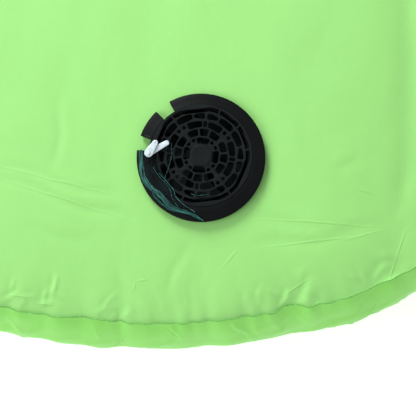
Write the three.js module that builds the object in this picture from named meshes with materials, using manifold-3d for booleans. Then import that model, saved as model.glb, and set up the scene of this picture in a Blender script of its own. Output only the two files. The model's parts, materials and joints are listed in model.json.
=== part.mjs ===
// Constant-air inflatable track mat with a built-in battery blower.
// Millimetres, +Z up. The mat lies on the floor at z = 0, its long axis is Y, and the origin is
// under the middle of its outline. The blower sits in the top skin near the -Y end.
import * as THREE from 'three';
import { mergeVertices } from 'three/addons/utils/BufferGeometryUtils.js';
import Module from 'manifold-3d';

const wasm = await Module();
wasm.setup();

// ---- Driving dimensions ----------------------------------------------------------------------

const gap = 0.3; // between pieces that touch
const faceting = 0.45; // how far a flat facet of the crown may lie under the true curve

// Inflated body
const matWidth = 1030; // over the side walls, at their fullest
const matLength = 2000;
const matThickness = 150; // floor to crown
const skin = 0.8; // coated cloth
const wallBulge = 15; // how far a side wall swells past its two seams
const topSeamHeight = 112;
const bottomSeamHeight = 30;
const crownReach = 350; // from the top seam to where the crown is level
const bottomReach = 45; // from the bottom seam to where the floor face begins
const arcSteps = 26; // facets round one end of the mat
const seamClearance = 1.2; // between a wall's edge and the sheet that it is sewn to
const tapeWidth = 12;

// Inner baffles, which hold the top and bottom apart
const baffleOffset = 237; // from the centre line
const baffleSteps = 16;
const stripWidth = 30; // welding strips along a baffle's edges
const airHoleRadius = 28;
const airHolePitch = 200;
const airHoleCount = 7;

// Blower, in its own frame: Z out of the mat, 0 at the skin
const blowerX = 57;
const blowerFromEnd = 151; // from the tip of the mat's end to the duct's axis, along Y
const ductBore = 40;
const ductWall = 3.2;
const ductDepth = 24;
const holeClearance = 0.8; // duct to the skin's hole
const rimWidth = 10; // past the foot of the notches
const flangeOffset = 1.7; // the rim is not quite centred on the duct
const flangeBase = 1.9; // underside of the rim
const flangeEdge = 7; // top of the rim at its outer edge
const flangeTop = 9; // top of the rim at the grille
const notches = [[119.6, 134.3], [160, 173.3]]; // degrees, from +X towards +Y
const grilleWall = 1.3; // between the grille's seat and the notches
const grilleOverlap = 0.5; // how far the grille reaches past the duct's outside
const grilleThickness = 3;
const grilleStandProud = 0.5;
const gasketWidth = 9;
const gasketThickness = 1.5;
const patchWidth = 34;
const clampWidth = 10.5;
const clampHeight = 6;
const clampLugs = 6;
const guardThickness = 3;
const guardArms = 3;
const bladeTipGap = 2.5;
const impellerHubRadius = 13;
const impellerHeight = 20;
const bladeCount = 7;
const bladeAngle = 35; // degrees from the plane of rotation
const bladeThickness = 1.6;

// Motor
const motorRadius = 12;
const motorLength = 27;
const motorWall = 1;
const magnetThickness = 2.2;
const armatureRadius = 7.5;
const shaftRadius = 1;
const bushRadius = 3;
const bushLength = 2.4;
const runningGap = 0.25;
const screwRadius = 0.8;
const screwHeadRadius = 1.9;
const screwLength = 9;

// Battery box for four AA cells, in a cloth pocket on the right side wall
const cellRadius = 7.1;
const cellLength = 50;
const cellCount = 4;
const cellSpacing = 0.6;
const contactThickness = 0.6;
const contactBump = 2.4;
const boxWall = 1.6;
const lidThickness = 1.4;
const boxFromWall = 2.2;
const batteryFromCorner = 105; // from where the round end begins to the middle of the box
const pocketCloth = 1;
const pocketDepth = 45; // how much of the box's height the pocket covers
const switchTravel = 4;
const leadRadius = 1.6;
const grommetRadius = 5;

// Carry handles
const webbingWidth = 38;
const webbingThickness = 2;
const handleSpan = 150;
const handleStand = 26; // wall to webbing
const handleFoot = 32; // sewn length at each end

// Deflation zip, on the right side wall
const zipLength = 240;
const zipFromCorner = 55; // from the zip's end to where the round end begins
const zipTape = 15;
const zipSlit = 2; // between the two chains
const chainWidth = 2.6;
const chainThickness = 2.2;
const sliderLength = 12;
const pullLength = 22;

// Gauze dust cover and the clip that holds it
const gauzeThickness = 0.4;
const hemWidth = 4;
const hemThickness = 1.6;
const hemFromRim = 4; // middle of the hem to the rim's edge
const clipThickness = 1.8;
const clipPinRadius = 1;

// ---- Sizes that follow from them ---------------------------------------------------------------

const ductRadius = ductBore + ductWall;
const grilleRadius = ductRadius + grilleOverlap;
const notchRadius = grilleRadius + grilleWall;
const flangeRadius = notchRadius + rimWidth;
const impellerRadius = ductBore - bladeTipGap;
const hemRadius = flangeRadius - hemFromRim;
const cellPitch = 2 * cellRadius + cellSpacing;
const endRadius = matWidth / 2;
const straightHalf = (matLength - matWidth) / 2;
const batteryY = batteryFromCorner - straightHalf;
const zipStart = straightHalf - zipFromCorner - zipLength;

// ---- Shape helpers ---------------------------------------------------------------------------

const radians = THREE.MathUtils.degToRad;

/** The faces turned to point outwards, whatever order they were made in. */
function outward(geometry) {
  const points = geometry.attributes.position;
  const index = geometry.index.array;
  const [a, b, c] = [new THREE.Vector3(), new THREE.Vector3(), new THREE.Vector3()];
  let volume = 0;
  for (let i = 0; i < index.length; i += 3) {
    a.fromBufferAttribute(points, index[i]);
    b.fromBufferAttribute(points, index[i + 1]);
    c.fromBufferAttribute(points, index[i + 2]);
    volume += a.dot(b.cross(c));
  }
  if (volume < 0) {
    for (let i = 0; i < index.length; i += 3) {
      [index[i], index[i + 1]] = [index[i + 1], index[i]];
    }
  }
  return geometry;
}

/** Only the positions, with shared vertices merged. */
function bare(geometry) {
  const copy = geometry.clone();
  for (const name of Object.keys(copy.attributes)) {
    if (name !== 'position') copy.deleteAttribute(name);
  }
  return outward(mergeVertices(copy, 1e-4));
}

function solidOf(geometry) {
  const merged = bare(geometry);
  return new wasm.Manifold(new wasm.Mesh({
    numProp: 3,
    vertProperties: Float32Array.from(merged.attributes.position.array),
    triVerts: Uint32Array.from(merged.index.array),
  }));
}

function geometryOf(solid) {
  const mesh = solid.getMesh();
  const geometry = new THREE.BufferGeometry();
  geometry.setAttribute('position', new THREE.BufferAttribute(mesh.vertProperties, 3));
  geometry.setIndex(new THREE.BufferAttribute(mesh.triVerts, 1));
  return geometry;
}

function cut(geometry, ...tools) {
  return geometryOf(tools.reduce((solid, tool) => solid.subtract(solidOf(tool)), solidOf(geometry)));
}

function join(...pieces) {
  return geometryOf(pieces.map(solidOf).reduce((whole, piece) => whole.add(piece)));
}

/** A box between two opposite corners. */
function box([x0, y0, z0], [x1, y1, z1]) {
  const geometry = new THREE.BoxGeometry(x1 - x0, y1 - y0, z1 - z0);
  return geometry.translate((x0 + x1) / 2, (y0 + y1) / 2, (z0 + z1) / 2);
}

/** A body turned about Z. The profile is a list of [radius, z]. */
function lathe(profile, segments = 32) {
  const points = profile.map(([radius, z]) => new THREE.Vector2(radius, z));
  return bare(new THREE.LatheGeometry(points, segments).rotateX(Math.PI / 2));
}

function disc(radius, z0, z1, segments = 32) {
  return lathe([[0, z0], [radius, z0], [radius, z1], [0, z1]], segments);
}

function ring(inner, outer, z0, z1, segments = 32) {
  return lathe([[inner, z0], [outer, z0], [outer, z1], [inner, z1], [inner, z0]], segments);
}

/** Triangles over a flat closed ring of points, in the order that the ring runs. */
function capTriangles(points) {
  const normal = new THREE.Vector3();
  points.forEach((p, i) => normal.add(p.clone().cross(points[(i + 1) % points.length])));
  normal.normalize();
  const u = points[1].clone().sub(points[0]).normalize();
  const v = normal.clone().cross(u);
  return THREE.ShapeUtils.triangulateShape(
    points.map((p) => new THREE.Vector2(p.dot(u), p.dot(v))), []);
}

/** A body through a row of rings that have the same number of points each. */
function loft(rings, closed = false) {
  const count = rings[0].length;
  const index = [];
  const spans = closed ? rings.length : rings.length - 1;
  for (let i = 0; i < spans; i += 1) {
    const here = i * count;
    const next = ((i + 1) % rings.length) * count;
    for (let j = 0; j < count; j += 1) {
      const k = (j + 1) % count;
      index.push(here + j, here + k, next + k, here + j, next + k, next + j);
    }
  }
  if (!closed) {
    const end = (rings.length - 1) * count;
    for (const [a, b, c] of capTriangles(rings[0])) index.push(c, b, a);
    for (const [a, b, c] of capTriangles(rings.at(-1))) index.push(end + a, end + b, end + c);
  }
  const geometry = new THREE.BufferGeometry();
  const numbers = rings.flat().flatMap((p) => p.toArray());
  geometry.setAttribute('position', new THREE.Float32BufferAttribute(numbers, 3));
  geometry.setIndex(index);
  return outward(geometry);
}

/** A flat outline with holes, given thickness along Z from z0. */
function plate(shape, z0, thickness, curveSegments = 6) {
  const settings = { depth: thickness, bevelEnabled: false, curveSegments };
  return bare(new THREE.ExtrudeGeometry(shape, settings).translate(0, 0, z0));
}

/** A profile moved sideways: positive to the right of the way that it runs. */
function offsetProfile(profile, distance) {
  return profile.map(([inset, z], i) => {
    const before = profile[Math.max(i - 1, 0)];
    const after = profile[Math.min(i + 1, profile.length - 1)];
    const run = new THREE.Vector2(after[0] - before[0], after[1] - before[1]).normalize();
    return [inset + run.y * distance, z - run.x * distance];
  });
}

const spread = (from, to, steps) => Array.from(
  { length: steps + 1 }, (_, i) => from + ((to - from) * i) / steps);

// ---- Materials -------------------------------------------------------------------------------

function finish(color, roughness, metalness = 0) {
  return new THREE.MeshStandardMaterial({ color, roughness, metalness });
}

const cloth = finish(0xa4ef87, 0.6);
const wallCloth = finish(0x93dc74, 0.6);
const webbing = finish(0x5aa84a, 0.85);
const tape = finish(0x86cc6b, 0.7);
const blackPlastic = finish(0x1b1e20, 0.5);
const darkPlastic = finish(0x26292b, 0.55);
const foam = finish(0x141414, 0.95);
const whitePlastic = finish(0xdbe9f2, 0.35);
const gauze = finish(0x16211f, 0.7);
const satin = finish(0x2f6b62, 0.35);
const steel = finish(0xb9bdc0, 0.35, 1);
const brass = finish(0xb08d4a, 0.4, 1);
const magnetite = finish(0x3a3a3d, 0.6);
const copper = finish(0xa5673f, 0.45, 1);
const nylon = finish(0xd7d9d4, 0.5);
const rubber = finish(0x1a1a1a, 0.9);
const cellWrap = finish(0x35506e, 0.4);

const mat = new THREE.Group();

function add(parent, name, geometry, material) {
  const mesh = new THREE.Mesh(geometry, material);
  mesh.name = name;
  parent.add(mesh);
}

// ---- The inflated outline --------------------------------------------------------------------

const wallMiddle = (topSeamHeight + bottomSeamHeight) / 2;
const wallHalf = (topSeamHeight - bottomSeamHeight) / 2;
const wallRadius = (wallHalf ** 2 + wallBulge ** 2) / (2 * wallBulge);

/** How far a point of the plan lies inside the mat's widest outline. */
function insetAt(x, y) {
  return endRadius - Math.hypot(x, Math.max(Math.abs(y) - straightHalf, 0));
}

/** The crown rises from the top seam as a quarter ellipse and then runs level. */
function crownAtInset(inset) {
  const share = THREE.MathUtils.clamp((inset - wallBulge) / crownReach, 0, 1);
  const rise = Math.sqrt(1 - (1 - share) ** 2);
  return topSeamHeight + (matThickness - topSeamHeight) * rise;
}

const crownAt = (x, y) => crownAtInset(insetAt(x, y));

/** The bottom falls from its seam as a quarter ellipse to the floor face. */
function bottomAtInset(inset) {
  const share = THREE.MathUtils.clamp((inset - wallBulge) / bottomReach, 0, 1);
  return bottomSeamHeight * (1 - Math.sqrt(1 - (1 - share) ** 2));
}

/** How far out a wall's arc stands at a height, when it is moved inwards by depth. */
function wallInset(z, depth = 0) {
  return wallRadius - Math.sqrt((wallRadius - depth) ** 2 - (z - wallMiddle) ** 2);
}

/** Stations round one end of the mat: a centre and a direction each. */
function endStations(end) {
  return spread(0, Math.PI, arcSteps).map((angle) => ({
    y: end * straightHalf, dx: end * Math.cos(angle), dy: end * Math.sin(angle),
  }));
}

/** A profile of [inset, z] set up at each station. */
function sweep(profile, stations, closed = false) {
  return loft(stations.map(({ y, dx, dy }) => profile.map(([inset, z]) => new THREE.Vector3(
    dx * (endRadius - inset), y + dy * (endRadius - inset), z))), closed);
}

const allRound = [...endStations(1), ...endStations(-1)];

/** A sheet whose section runs from the seam inwards, with its middle filled level. */
function sheet(profile, distance) {
  const section = [...profile.toReversed(), ...offsetProfile(profile, distance)];
  return loft(section.map(([inset, z]) => allRound.map(({ y, dx, dy }) => new THREE.Vector3(
    dx * (endRadius - inset), y + dy * (endRadius - inset), z))));
}

/** The closed section of a strip that follows the wall between two heights. */
function wallSection(z0, z1, depth0, depth1, steps = 6) {
  const heights = spread(z0, z1, steps);
  return [
    ...heights.map((z) => [wallInset(z, depth0), z]),
    ...heights.toReversed().map((z) => [wallInset(z, depth1), z]),
  ];
}

// ---- Blower frame ----------------------------------------------------------------------------

const blowerY = -matLength / 2 + blowerFromEnd;
const slopeStep = 0.5;
const blowerNormal = new THREE.Vector3(
  -(crownAt(blowerX + slopeStep, blowerY) - crownAt(blowerX - slopeStep, blowerY)),
  -(crownAt(blowerX, blowerY + slopeStep) - crownAt(blowerX, blowerY - slopeStep)),
  2 * slopeStep,
).normalize();
const blowerRight = new THREE.Vector3(0, 1, 0).cross(blowerNormal).normalize();
const blowerFrame = new THREE.Matrix4()
  .makeBasis(blowerRight, blowerNormal.clone().cross(blowerRight), blowerNormal)
  .setPosition(blowerX, blowerY, crownAt(blowerX, blowerY));
const skinHole = ductRadius + holeClearance;

const blower = new THREE.Group();
blower.applyMatrix4(blowerFrame);
mat.add(blower);

// ---- Skins -----------------------------------------------------------------------------------

function skins() {
  const crownInsets = [0, 4, 14, 34, 68, 112, 172, 245, crownReach].map((d) => wallBulge + d);
  const crown = crownInsets.map((inset) => [inset, crownAtInset(inset)]);
  const duct = disc(skinHole, -ductDepth, ductDepth, 40).applyMatrix4(blowerFrame);
  add(mat, 'top_sheet', cut(sheet(crown, skin), duct), cloth);

  const floorInsets = [0, 3, 9, 18, 30, bottomReach].map((d) => wallBulge + d);
  const floor = floorInsets.map((inset) => [inset, bottomAtInset(inset)]);
  add(mat, 'bottom_sheet', sheet(floor, -skin), cloth);

  const low = bottomSeamHeight + seamClearance;
  const high = topSeamHeight - seamClearance;
  const wall = wallSection(low, high, 0, skin);
  add(mat, 'wall_front', sweep(wall, endStations(-1)), wallCloth);
  add(mat, 'wall_rear', sweep(wall, endStations(1)), wallCloth);
  const straight = (side) => sweep(wall, [-1, 1].map((end) => ({
    y: end * (straightHalf - gap), dx: side, dy: 0,
  })));
  add(mat, 'wall_left', straight(-1), wallCloth);

  const slot = chainWidth + zipSlit / 2 + gap;
  const window = box(
    [endRadius - wallBulge, zipStart, wallMiddle - slot],
    [endRadius + wallBulge, zipStart + zipLength, wallMiddle + slot]);
  add(mat, 'wall_right', cut(straight(1), window, sideHole(grommetNeck + gap)), wallCloth);

  const inner = skin + gap;
  const seamTape = (z0, z1) => sweep(wallSection(z0, z1, inner, inner + skin, 1), allRound, true);
  add(mat, 'top_seam_tape', seamTape(high - tapeWidth, high), tape);
  add(mat, 'bottom_seam_tape', seamTape(low, low + tapeWidth), tape);
}

const grommetBore = leadRadius + gap;
const grommetNeck = grommetBore + 1.1;

/** A round tool through the right side wall where the battery lead passes. */
function sideHole(radius) {
  return disc(radius, -wallBulge, wallBulge, 20).rotateY(Math.PI / 2)
    .translate(endRadius, batteryY, wallMiddle);
}

// ---- Baffles ---------------------------------------------------------------------------------

function baffles() {
  const stripTop = skin + gap + faceting;
  const stripLow = skin + gap;
  const clearOfCurve = endRadius - wallBulge - bottomReach - gap;
  const half = straightHalf + Math.sqrt(
    clearOfCurve ** 2 - (baffleOffset + stripWidth / 2 + gap) ** 2);
  const along = spread(-half, half, baffleSteps);
  for (const [side, word] of [[-1, 'left'], [1, 'right']]) {
    const x = side * baffleOffset;
    const across = [x - stripWidth / 2, x, x + stripWidth / 2];
    add(mat, `baffle_strip_${word}_top`, loft(along.map((y) => [
      ...across.map((at) => new THREE.Vector3(at, y, crownAt(at, y) - stripTop)),
      ...across.toReversed().map((at) => new THREE.Vector3(at, y, crownAt(at, y) - stripTop - skin)),
    ])), tape);
    add(mat, `baffle_strip_${word}_bottom`,
      box([across[0], -half, stripLow], [across[2], half, stripLow + skin]), tape);

    const outline = new THREE.Shape([
      new THREE.Vector2(-half, stripLow + skin + gap),
      new THREE.Vector2(half, stripLow + skin + gap),
      ...along.toReversed().map((y) => new THREE.Vector2(y, crownAt(x, y) - stripTop - skin - gap)),
    ]);
    for (let i = 0; i < airHoleCount; i += 1) {
      const y = (i - (airHoleCount - 1) / 2) * airHolePitch;
      outline.holes.push(new THREE.Path().absarc(y, wallMiddle, airHoleRadius, 0, 2 * Math.PI));
    }
    const panel = plate(outline, -skin / 2, skin, 5);
    panel.rotateX(Math.PI / 2).rotateZ(Math.PI / 2).translate(x, 0, 0);
    add(mat, `baffle_${word}`, panel, tape);
  }
}

// ---- Blower ----------------------------------------------------------------------------------

/** A wedge-shaped tool between two angles, about the rim's centre. */
function notchTool([from, to]) {
  const shape = new THREE.Shape();
  shape.absarc(0, 0, notchRadius, radians(from), radians(to));
  shape.absarc(0, 0, flangeRadius + 5, radians(to), radians(from), true);
  return plate(shape, -1, flangeTop + 2, 4).translate(0, -flangeOffset, 0);
}

const ledge = flangeTop + grilleStandProud - grilleThickness - gap;

function rimAndDuct() {
  const rim = lathe([
    [0, flangeBase], [flangeRadius - 0.8, flangeBase], [flangeRadius, flangeBase + 0.8],
    [flangeRadius, flangeEdge - 1.8], [flangeRadius - 0.7, flangeEdge - 0.6],
    [flangeRadius - 2.2, flangeEdge], [notchRadius, flangeTop], [0, flangeTop],
  ], 48).translate(0, -flangeOffset, 0);
  const body = join(rim, disc(ductRadius, -ductDepth, flangeBase + 1, 40));
  const screwHoles = guardScrewAngles.map((angle) => disc(screwRadius + gap, -ductDepth - 1,
    -ductDepth + screwLength, 8).translate(...screwPlace(angle)));
  add(blower, 'blower_flange', cut(body, disc(ductBore, -ductDepth - 1, flangeTop + 1, 40),
    disc(grilleRadius + gap, ledge, flangeTop + 1, 40), ...notches.map(notchTool),
    ...screwHoles), blackPlastic);

  const gasket = ring(skinHole, skinHole + gasketWidth, 0.1, 0.1 + gasketThickness, 36);
  add(blower, 'flange_gasket', cut(gasket, ...notches.map(notchTool)), foam);
}


/** One opening of the grille between two radii, half of its width each side of an angle. */
function cell(inner, outer, middle, half) {
  const steps = half > 15 ? 3 : 2;
  const at = (radius, angle) => new THREE.Vector2(
    radius * Math.cos(radians(angle)), radius * Math.sin(radians(angle)));
  return new THREE.Path([
    ...spread(middle - half, middle + half, steps).map((angle) => at(inner, angle)),
    ...spread(middle + half, middle - half, steps).map((angle) => at(outer, angle)),
  ]);
}

// Openings of the web that repeat each quarter turn: inner and outer radius, angle, half width.
const webCells = [
  [10.1, 15, 0, 22],
  [12.8, 15.2, -34.9, 5], [12.8, 15.2, 34.9, 5],
  [16.8, 22.4, 0, 9], [16.8, 22.4, -27.6, 11], [16.8, 22.4, 27.6, 11],
  [24.5, 28.8, 0, 2.6], [23.7, 29.2, -19, 12.5], [23.7, 29.2, 19, 12.5],
  [26, 28.7, -39.3, 2.6], [26, 28.7, 39.3, 2.6],
  [31, 36, -9.85, 7.6], [31, 36, 9.85, 7.6], [30.4, 36, -32.5, 11], [30.4, 36, 32.5, 11],
];
const webTurn = -7.6;
const webRadius = 43.7; // the grille radius that the web's openings are drawn for
const slots = [38.3, 41.3]; // inner and outer radius, drawn likewise
const slotSpokes = [7, 37.8, 67, 127, 187, 247, 307]; // degrees
const spokeHalf = 1.7; // degrees

function intakeGrille() {
  const outline = new THREE.Shape().absarc(0, 0, grilleRadius, 0, 2 * Math.PI);
  const scale = grilleRadius / webRadius;
  for (let quarter = 0; quarter < 4; quarter += 1) {
    for (const [inner, outer, middle, half] of webCells) {
      const turn = webTurn + 90 * quarter + middle;
      outline.holes.push(cell(inner * scale, outer * scale, turn, half));
    }
  }
  slotSpokes.forEach((spoke, i) => {
    const next = slotSpokes[i + 1] ?? slotSpokes[0] + 360;
    const half = (next - spoke) / 2 - spokeHalf;
    outline.holes.push(cell(slots[0] * scale, slots[1] * scale, (spoke + next) / 2, half));
  });
  add(blower, 'intake_grille', plate(outline, ledge + gap, grilleThickness, 20), darkPlastic);
}

const patchDrop = skin + gap + faceting; // crown to the top of what lies under the skin
const rimSag = 1.3; // how far the crown falls away from a flat plane under the rim

function patchAndClamp() {
  const centre = new THREE.Vector3(blowerX, blowerY, 0);
  const turns = spread(0, 2 * Math.PI, 28).slice(0, -1);
  const radii = spread(skinHole, skinHole + patchWidth, 2);
  add(mat, 'blower_patch', loft(turns.map((turn) => {
    const points = radii.map((radius) => new THREE.Vector3(
      centre.x + radius * Math.cos(turn), centre.y + radius * Math.sin(turn), 0));
    const at = (p, drop) => new THREE.Vector3(p.x, p.y, crownAt(p.x, p.y) - drop);
    return [
      ...points.map((p) => at(p, patchDrop)),
      ...points.toReversed().map((p) => at(p, patchDrop + skin)),
    ];
  }), true), tape);

  const top = -(patchDrop + skin + rimSag + gap);
  const inner = ductRadius + gap;
  const lugs = spread(0, 360, clampLugs).slice(0, -1).map((angle) => box(
    [inner + clampWidth - 1, -3, top - clampHeight], [inner + clampWidth + 2, 3, top],
  ).rotateZ(radians(angle)));
  add(blower, 'clamp_ring', cut(
    join(disc(inner + clampWidth, top - clampHeight, top, 36), ...lugs),
    disc(inner, top - clampHeight - 1, top + 1, 36)), blackPlastic);
}

const guardTop = -ductDepth - gap;
const guardScrewAngles = [30, 150, 270];
const guardScrewRadius = (ductRadius + ductBore) / 2;
const motorTop = impellerBase() - 1;
const motorBase = motorTop - motorLength;

function impellerBase() {
  return 1 - impellerHeight;
}

function screwPlace(angle) {
  return [guardScrewRadius * Math.cos(radians(angle)), guardScrewRadius * Math.sin(radians(angle)), 0];
}

function outletGuard() {
  const sleeve = motorRadius + gap;
  const base = guardTop - guardThickness;
  const arms = spread(90, 450, guardArms).slice(0, -1).map((angle) => box(
    [sleeve + 1, -3, base], [guardScrewRadius - 2, 3, guardTop]).rotateZ(radians(angle)));
  const rim = ring(guardScrewRadius - 4, ductRadius, base, guardTop, 32);
  const cup = ring(sleeve, sleeve + 2.4, motorBase + 6, guardTop, 20);
  const holes = guardScrewAngles.map((angle) => disc(screwRadius + gap, base - 1, guardTop + 1, 8)
    .translate(...screwPlace(angle)));
  add(blower, 'outlet_guard', cut(join(rim, cup, ...arms), ...holes), darkPlastic);
  guardScrewAngles.forEach((angle, i) => {
    const screw = lathe([
      [0, base - gap - 1.4], [screwHeadRadius, base - gap - 1.4], [screwHeadRadius, base - gap],
      [screwRadius, base - gap], [screwRadius, base + screwLength - 1.5],
      [0, base + screwLength - 1.5],
    ], 8).translate(...screwPlace(angle));
    add(blower, `guard_screw_${i + 1}`, screw, steel);
  });
}

function impeller() {
  const base = impellerBase();
  const reach = impellerRadius - impellerHubRadius + 2;
  const pitch = impellerHeight - 4;
  const blades = spread(0, 360, bladeCount).slice(0, -1).map((angle) => box(
    [0, -pitch / 2, -bladeThickness / 2], [reach, pitch / 2, bladeThickness / 2],
  ).rotateX(radians(bladeAngle)).translate(impellerHubRadius - 2, 0, base + impellerHeight / 2)
    .rotateZ(radians(angle)));
  const hub = disc(impellerHubRadius, base, base + impellerHeight, 20);
  const envelope = disc(impellerRadius, base, base + impellerHeight, 36);
  const whole = solidOf(join(hub, ...blades)).intersect(solidOf(envelope));
  const bore = disc(shaftRadius + gap, base - 1, base + impellerHeight - 3, 12);
  add(blower, 'impeller', cut(geometryOf(whole), bore), darkPlastic);
}

function motor() {
  const inner = motorRadius - motorWall;
  const bushHole = bushRadius + gap;
  const shaftHole = shaftRadius + runningGap;
  add(blower, 'motor_can', lathe([
    [bushHole, motorTop], [motorRadius, motorTop], [motorRadius, motorBase], [inner, motorBase],
    [inner, motorTop - motorWall], [bushHole, motorTop - motorWall], [bushHole, motorTop],
  ], 20), steel);
  const magnetOuter = inner - gap;
  add(blower, 'motor_magnet', ring(magnetOuter - magnetThickness, magnetOuter, motorBase + 5,
    motorTop - motorWall - 2, 20), magnetite);
  add(blower, 'motor_armature', ring(shaftRadius + gap, armatureRadius, motorBase + 6,
    motorTop - motorWall - bushLength - 1, 16), copper);
  const capTop = motorBase - gap;
  add(blower, 'motor_end_cap', lathe([
    [bushHole, capTop], [motorRadius, capTop], [motorRadius, capTop - 2],
    [bushHole, capTop - 2], [bushHole, capTop],
  ], 20), nylon);
  add(blower, 'front_bush', ring(shaftHole, bushRadius, motorTop - bushLength, motorTop, 14), brass);
  add(blower, 'rear_bush', ring(shaftHole, bushRadius, capTop - 2, capTop - 2 + bushLength, 14), brass);
  const shaftTop = impellerBase() + impellerHeight - 3 - gap;
  add(blower, 'motor_shaft', disc(shaftRadius, capTop - 3, shaftTop, 12), steel);
}

// ---- Battery box and its lead ----------------------------------------------------------------

const boxBack = endRadius + boxFromWall;
const cellSpace = 2 * cellRadius + 2 * gap;
const boxHalf = (cellCount * cellPitch) / 2 + boxWall;
const contactSpace = contactThickness + contactBump + gap;
const cavityHalf = cellLength / 2 + contactSpace + gap;
const lidPlane = boxBack + boxWall + cellSpace;
const boxFront = lidPlane + lidThickness + 2 * gap + boxWall;

function batteryBox() {
  const place = (geometry) => geometry.translate(0, batteryY, wallMiddle);
  const body = box([boxBack, -boxHalf, -cavityHalf - boxWall], [boxFront, boxHalf, cavityHalf + boxWall]);
  const half = boxHalf - boxWall;
  const cavity = box([boxBack + boxWall, -half, -cavityHalf], [lidPlane + gap, half, cavityHalf]);
  const lidSlot = box([lidPlane, -half - 0.8, -cavityHalf], [boxFront - boxWall, half + 0.8, boxHalf * 2]);
  const front = box([lidPlane, -half + 1.5, -cavityHalf], [boxFront + 1, half - 1.5, boxHalf * 2]);
  const slotX = boxBack + boxWall + cellSpace / 2;
  const switchSlot = box([slotX - 2.3, -switchTravel - 3, cavityHalf - 1],
    [slotX + 2.3, switchTravel + 3, cavityHalf + boxWall + 1]);
  const leadHole = disc(leadRadius + gap, -1, boxWall + 1, 16).rotateY(Math.PI / 2)
    .translate(boxBack, 0, 0);
  add(mat, 'battery_box', place(cut(body, cavity, lidSlot, front, switchSlot, leadHole)), blackPlastic);

  const lid = box([lidPlane + gap, -half - 0.8 + gap, -cavityHalf + gap],
    [lidPlane + gap + lidThickness, half + 0.8 - gap, cavityHalf + boxWall]);
  add(mat, 'battery_lid', place(lid), darkPlastic);

  const knob = join(
    box([slotX - 2, -3 - switchTravel / 2, cavityHalf + gap],
      [slotX + 2, 3 - switchTravel / 2, cavityHalf + boxWall + 1.6]),
    box([slotX - 3.4, -4.5 - switchTravel / 2, cavityHalf + boxWall + gap],
      [slotX + 3.4, 4.5 - switchTravel / 2, cavityHalf + boxWall + 1.5]));
  add(mat, 'power_switch', place(knob), nylon);

  const cellX = boxBack + boxWall + gap + cellRadius;
  for (let i = 0; i < cellCount; i += 1) {
    const y = (i - (cellCount - 1) / 2) * cellPitch;
    const half = cellLength / 2;
    add(mat, `cell_${i + 1}`, place(lathe([
      [0, -half], [cellRadius, -half], [cellRadius, half - 1.2], [2.7, half - 1.2], [2.7, half],
      [0, half],
    ], 14).translate(cellX, y, 0)), cellWrap);
  }
  for (const [side, word] of [[-1, 'lower'], [1, 'upper']]) {
    const outer = side * (cavityHalf - gap);
    const inner = outer - side * contactThickness;
    const strip = box([cellX - 5, -half + gap, Math.min(inner, outer)],
      [cellX + 5, half - gap, Math.max(inner, outer)]);
    const bumps = Array.from({ length: cellCount }, (_, i) => {
      const reach = inner - side * contactBump;
      return lathe([[0, inner + side * 0.2], [3.6, inner + side * 0.2], [1.8, reach], [0, reach]], 8)
        .translate(cellX, (i - (cellCount - 1) / 2) * cellPitch, 0);
    });
    add(mat, `contact_${word}`, place(join(strip, ...bumps)), steel);
  }
}

function batteryPocket() {
  const low = -cavityHalf - boxWall - gap;
  const side = boxHalf + gap;
  const front = boxFront + gap;
  const wallGap = endRadius + gap;
  const outer = box([wallGap, -side - pocketCloth, low - pocketCloth],
    [front + pocketCloth, side + pocketCloth, low + pocketDepth]);
  const inner = box([wallGap - 1, -side, low], [front, side, low + pocketDepth + 1]);
  add(mat, 'battery_pocket', cut(outer, inner).translate(0, batteryY, wallMiddle), cloth);
}

// The lead leaves the motor, passes an air hole of the right baffle and ends at the battery box.
const leadRoute = [
  [blowerX + 73, blowerY + 104, 60], [baffleOffset, -3 * airHolePitch, 68],
  [endRadius - 170, batteryY - 90, 70], [endRadius - 75, batteryY - 12, wallMiddle],
  [endRadius - 28, batteryY, wallMiddle],
];

function lead() {
  const start = new THREE.Vector3(6.5, 0, motorBase - gap - 2 - gap).applyMatrix4(blowerFrame);
  const away = blowerNormal.clone().multiplyScalar(-14).add(start);
  const end = new THREE.Vector3(boxBack + boxWall - gap, batteryY, wallMiddle);
  const before = new THREE.Vector3(endRadius - 8, batteryY, wallMiddle);
  const route = [start, away, ...leadRoute.map((p) => new THREE.Vector3(...p)), before, end];
  const section = new THREE.Shape().absarc(0, 0, leadRadius, 0, 2 * Math.PI);
  add(mat, 'power_lead', bare(new THREE.ExtrudeGeometry(section, {
    steps: 44, curveSegments: 4, bevelEnabled: false,
    extrudePath: new THREE.CatmullRomCurve3(route, false, 'centripetal'),
  })), rubber);

  const inside = -skin - 2 * gap;
  const outside = gap;
  add(mat, 'lead_grommet', lathe([
    [grommetBore, inside - 1], [grommetRadius, inside - 1], [grommetRadius, inside],
    [grommetNeck, inside], [grommetNeck, outside], [grommetRadius, outside],
    [grommetRadius, outside + 1], [grommetBore, outside + 1], [grommetBore, inside - 1],
  ], 14).rotateY(Math.PI / 2).translate(endRadius, batteryY, wallMiddle), rubber);
}

// ---- Handles ---------------------------------------------------------------------------------

function handles() {
  const foot = endRadius + gap;
  const half = handleSpan / 2;
  const lean = 22; // how far along the wall the webbing takes to leave it
  const path = (lift, draw) => [
    [-half - handleFoot, foot + draw], [-half, foot + draw], [-half + lean, foot + lift + draw],
    [half - lean, foot + lift + draw], [half, foot + draw], [half + handleFoot, foot + draw],
  ];
  const lift = handleStand - webbingThickness;
  const outer = path(lift, webbingThickness);
  const inner = path(lift, 0).toReversed();
  const outline = new THREE.Shape([...outer, ...inner].map(([y, x]) => new THREE.Vector2(x, y)));
  for (const [side, word] of [[-1, 'left'], [1, 'right']]) {
    const strap = plate(outline, wallMiddle - webbingWidth / 2, webbingWidth);
    if (side < 0) strap.rotateZ(Math.PI);
    add(mat, `handle_${word}`, strap, webbing);
  }
}

// ---- Deflation zip ---------------------------------------------------------------------------

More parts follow.
